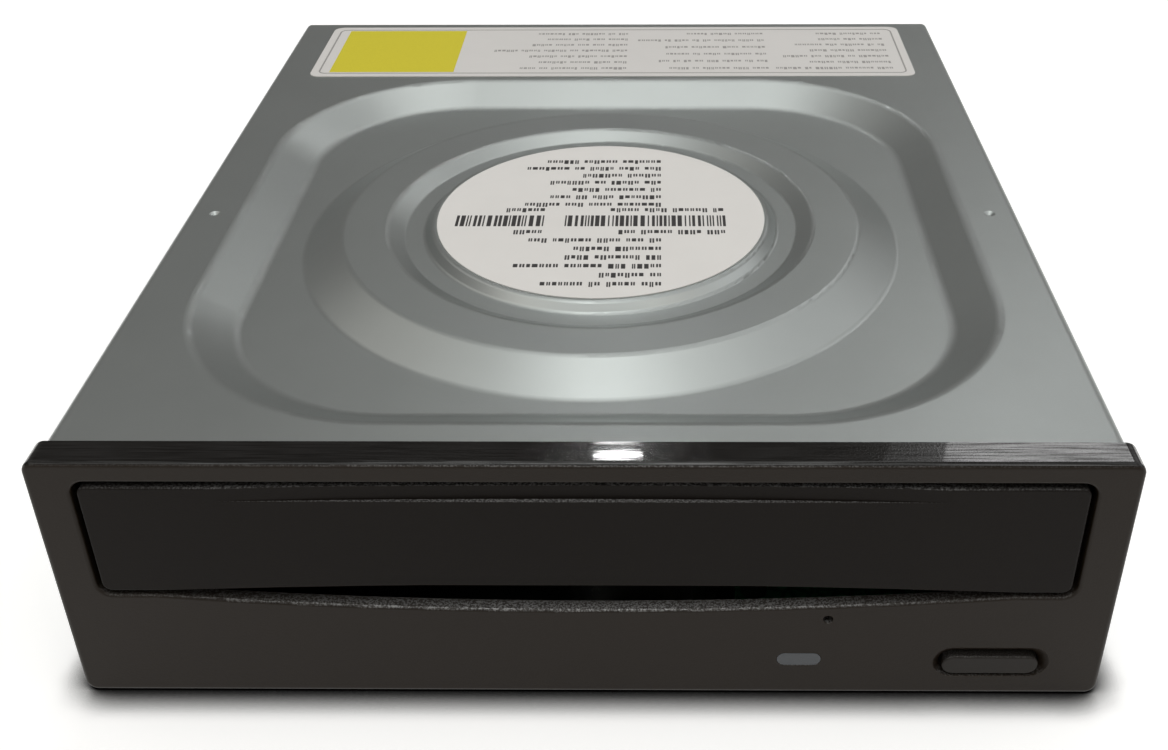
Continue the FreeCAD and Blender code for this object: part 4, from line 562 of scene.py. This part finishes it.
def film(name):
    """A pale film with the stripes of its conductors."""
    material, tree, shader = new_material(name, Roughness=0.28)
    spot = place(tree, "ShaderNodeTexCoord").outputs["Object"]
    stripes = place(tree, "ShaderNodeTexWave", [(spot, "Vector")], Scale=320.0, bands_direction="X")
    track = spread(tree, stripes.outputs["Fac"], 0, 1, 0.35, 0.6)
    tree.links.new(blend_colours(tree, track, RIBBON_FILM, CONDUCTOR), shader.inputs["Base Color"])
    bump(tree, shader, track, 20e-6)
    return material


def smoky_lens(name):
    """Dark plastic of uneven depth under a thin clear coat."""
    material, tree, shader = new_material(name, Roughness=0.22, Coat_Weight=0.3)
    grain = use_group(tree, GRAIN, Grain_Size=0.5, Patch_Size=4.0)
    depth = blend_colours(tree, grain.outputs["Patches"], shade(SMOKE, 0.8), shade(SMOKE, 1.2))
    tree.links.new(depth, shader.inputs["Base Color"])
    bump(tree, shader, grain.outputs["Grain"], 4e-6)
    return material


DARKER_PAPER = paper("rating_paper", (0.70, 0.685, 0.67))
OTHERS = {
    "label_paper": paper("label_paper", (0.77, 0.755, 0.735)),
    "board_laminate": laminate("board_green"),
    "ribbon_film": film("ribbon_film"),
    "light_lens": smoky_lens("smoky_lens"),
}
FINISHES = {**STEELS, **PLASTICS, **OTHERS}
print("finishes:", len(FINISHES))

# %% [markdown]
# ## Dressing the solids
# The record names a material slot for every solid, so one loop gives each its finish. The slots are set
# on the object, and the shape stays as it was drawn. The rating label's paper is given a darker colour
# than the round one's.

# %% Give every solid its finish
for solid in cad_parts.values():
    for slot in solid.material_slots:
        finish = FINISHES[slot.material.name.split(".")[0]]
        slot.link = "OBJECT"
        slot.material = finish
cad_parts["rating_label"].material_slots[0].material = DARKER_PAPER
print("dressed", len(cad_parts), "solids")

# %% [markdown]
# ## Print on the labels
# Ink is a film a few hundredths of a millimetre thick. Each mark is a thin slab on the paper, made from
# one unit cube that is scaled and moved, so it has an edge from close by and no second surface to
# flicker against the label. The marks stand for lines of type and for bars: blocks of letter size, whose
# lengths come from a seeded generator, and they say nothing.

# %% Helpers for print
INK_FILM = 0.02 * MM
WORD_LENGTHS = (2, 7)
LETTER_WIDTHS = (0.36, 0.62)
LETTER_HEIGHTS = (0.7, 0.7, 1.0)
LETTER_STROKES = (1, 2, 2)
THIN_STROKE = 0.4
LETTER_GAP = 0.2
WORD_GAP = 0.5
BAR_WIDTHS = (0.25, 0.25, 0.5, 0.75)
BAR_GAPS = (0.25, 0.3, 0.5)


def slab(shape, left, right, front, back, base, thickness):
    """Adds a thin box between two corners, in millimetres, that stands on a level in metres."""
    middle = Matrix.Translation(((left + right) / 2 * MM, (front + back) / 2 * MM, base + thickness / 2))
    extent = Matrix.Diagonal(((right - left) * MM, (back - front) * MM, thickness, 1))
    bmesh.ops.create_cube(shape, size=1, matrix=middle @ extent)


def type_line(shape, dice, start, length, middle, height, base):
    """A line of letter blocks that runs towards -X from its start, as seen by a reader behind."""
    place_x = start
    while place_x > start - length:
        for _ in range(dice.randint(*WORD_LENGTHS)):
            width = height * dice.uniform(*LETTER_WIDTHS)
            tall = height * dice.choice(LETTER_HEIGHTS)
            low = middle + height / 2 - tall
            strokes = dice.choice(LETTER_STROKES)
            thick = width * (1.0 if strokes == 1 else THIN_STROKE)
            for stroke in range(strokes):
                edge = place_x - stroke * width * (1 - THIN_STROKE)
                slab(shape, edge - thick, edge, low, low + tall, base, INK_FILM)
            place_x -= width + LETTER_GAP * height
        place_x -= WORD_GAP * height


def bar_block(shape, dice, left, right, front, back, base):
    """A block of upright bars of uneven width."""
    place_x = left
    while place_x < right:
        width = dice.choice(BAR_WIDTHS)
        slab(shape, place_x, min(place_x + width, right), front, back, base, INK_FILM)
        place_x += width + dice.choice(BAR_GAPS)


def finish_piece(name, shape, material, body):
    """Turns a bmesh into a piece that rides on a body."""
    mesh = bpy.data.meshes.new(name)
    shape.to_mesh(mesh)
    shape.free()
    mesh.materials.append(material)
    piece = bpy.data.objects.new(name, mesh)
    scene.collection.objects.link(piece)
    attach(piece, body)
    print(name, len(mesh.polygons), "faces")


def ink(name, colour):
    """Ink with the paper's grain and an uneven lay."""
    material, tree, shader = new_material(name, Roughness=0.5, Specular_IOR_Level=0.35)
    grain = use_group(tree, GRAIN, Grain_Size=0.12, Patch_Size=3.0)
    lay = blend_colours(tree, grain.outputs["Grain"], shade(colour, 0.8), shade(colour, 1.25))
    tree.links.new(lay, shader.inputs["Base Color"])
    bump(tree, shader, grain.outputs["Grain"], 2e-6)
    return material


BLACK_INK = ink("black_ink", (0.035, 0.033, 0.034))
GREY_INK = ink("grey_ink", (0.33, 0.32, 0.31))
YELLOW_INK = ink("yellow_ink", (0.66, 0.58, 0.030))
print("inks ready")

# %% Round label
LINE_HEIGHT = 1.55
LINE_PITCH = 2.95
LINE_START = 10.5
UPPER_TOP = 21.4
UPPER_ROWS = 7
UPPER_LENGTHS = (10, 26)
LOWER_TOP = -9.6
LOWER_ROWS = 6
LOWER_LENGTHS = (8, 22)
CAPTIONS = ((21.5, 20.0), (-10.0, 4.0))
CAPTION_ABOVE = 1.6
CAPTION_BELOW = -6.6
BELOW_SHARE = 0.8
BAR_SPANS = ((-25.2, -9.8), (-6.2, 22.0))
BARS_FRONT = -4.4
BARS_BACK = -0.4

label_low, label_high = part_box("round_label")
label_x = (label_low.x + label_high.x) / 2 / MM
label_y = (label_low.y + label_high.y) / 2 / MM
label_top = label_high.z
dice = random.Random(12)
shape = bmesh.new()


def label_line(start, length, middle):
    """A line of type on the round label, placed from its centre in millimetres."""
    type_line(shape, dice, label_x + start, length, label_y + middle, LINE_HEIGHT, label_top)


for row in range(UPPER_ROWS):
    label_line(LINE_START, dice.uniform(*UPPER_LENGTHS), UPPER_TOP - row * LINE_PITCH)
for start, length in CAPTIONS:
    label_line(start, length, CAPTION_ABOVE)
    label_line(start, length * BELOW_SHARE, CAPTION_BELOW)
for left, right in BAR_SPANS:
    bar_block(shape, dice, label_x + left, label_x + right, label_y + BARS_FRONT, label_y + BARS_BACK,
              label_top)
for row in range(LOWER_ROWS):
    label_line(LINE_START, dice.uniform(*LOWER_LENGTHS), LOWER_TOP - row * LINE_PITCH)
finish_piece("round_label_print", shape, BLACK_INK, "chassis")

# %% Rating label
BORDER_INSET = 1.6
BORDER_WIDTH = 0.35
BORDER_CORNER = 1.6
COLUMNS = ((61.0, 22.0, 7), (34.0, 26.0, 6), (3.0, 26.0, 7))
RATING_TYPE = 1.3
TYPE_MARGIN = 4.6
BOTH_MARGINS = 9.0
LINE_SHARES = (0.5, 1.0)

plate_low, plate_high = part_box("rating_label")
left, right = plate_low.x / MM, plate_high.x / MM
front, back = plate_low.y / MM, plate_high.y / MM
half_width = (right - left) / 2 - BORDER_INSET
half_depth = (back - front) / 2 - BORDER_INSET

shape = bmesh.new()
centre = Matrix.Translation(((left + right) / 2 * MM, (front + back) / 2 * MM, plate_high.z))
half = Matrix.Diagonal((half_width * MM, half_depth * MM, 1, 1))
bmesh.ops.create_grid(shape, x_segments=1, y_segments=1, size=1, matrix=centre @ half)
bmesh.ops.bevel(shape, geom=list(shape.verts), offset=BORDER_CORNER * MM, segments=5, profile=0.5,
                affect="VERTICES", material=-1)
inner = shape.faces[:]
bmesh.ops.inset_region(shape, faces=inner, thickness=BORDER_WIDTH * MM, use_boundary=True,
                       use_even_offset=True)
bmesh.ops.delete(shape, geom=inner, context="FACES")
raised = bmesh.ops.extrude_face_region(shape, geom=shape.faces[:])["geom"]
bmesh.ops.translate(shape, verts=[item for item in raised if isinstance(item, bmesh.types.BMVert)],
                    vec=(0, 0, INK_FILM))
bmesh.ops.recalc_face_normals(shape, faces=shape.faces)

for start, length, rows in COLUMNS:
    for row in range(rows):
        middle = back - TYPE_MARGIN - row * (back - front - BOTH_MARGINS) / (rows - 1)
        reach = dice.uniform(*LINE_SHARES) * length
        type_line(shape, dice, start, reach, middle, RATING_TYPE, plate_high.z)
finish_piece("rating_label_print", shape, GREY_INK, "chassis")

# %% Yellow field of the rating label
YELLOW_LEFT = 4.0
YELLOW_WIDTH = 27.0
YELLOW_MARGIN = 2.4

shape = bmesh.new()
slab(shape, left + YELLOW_LEFT, left + YELLOW_LEFT + YELLOW_WIDTH,
     front + YELLOW_MARGIN, back - YELLOW_MARGIN, plate_high.z, INK_FILM)
finish_piece("rating_label_block", shape, YELLOW_INK, "chassis")

# %% [markdown]
# ## Contacts of the connector
# The two sockets at the back hold flat gold-plated contacts on their tongues: seven for data and
# fifteen for power, all at one pitch. They are thin strips with a rounded nose where the plug first
# touches, so each is a slab whose upper edge at the mouth is bevelled.

# %% Contacts
CONTACT_PITCH = 1.27
CONTACT_WIDTH = 0.75
CONTACT_FILM = 0.06 * MM
CONTACT_ROOT = 6.5
CONTACT_NOSE = 1.5
CONTACT_ROWS = ((43.1, 7), (22.8, 15))
TONGUE_TOP = 4.8
NEAR_NOSE = 0.1
NOSE_SHARE = 0.8

socket_low, socket_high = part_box("data_connector")
mouth = socket_high.y / MM
tongue = socket_low.z + TONGUE_TOP * MM
nose_line = socket_high.y - (CONTACT_NOSE + NEAR_NOSE) * MM
shape = bmesh.new()
for middle, count in CONTACT_ROWS:
    for step in range(count):
        across = middle + (step - (count - 1) / 2) * CONTACT_PITCH
        slab(shape, across - CONTACT_WIDTH / 2, across + CONTACT_WIDTH / 2,
             mouth - CONTACT_ROOT, mouth - CONTACT_NOSE, tongue, CONTACT_FILM)
noses = [edge for edge in shape.edges
         if all(vert.co.z > tongue + CONTACT_FILM / 2 and vert.co.y > nose_line for vert in edge.verts)]
bmesh.ops.bevel(shape, geom=noses, offset=CONTACT_FILM * NOSE_SHARE, segments=2, profile=0.5,
                affect="EDGES", material=-1)
GOLD = steel("contact_gold", (0.86, 0.62, 0.27), 0.22, grain_size=0.15, patch=0.03)
finish_piece("connector_contacts", shape, GOLD, "chassis")
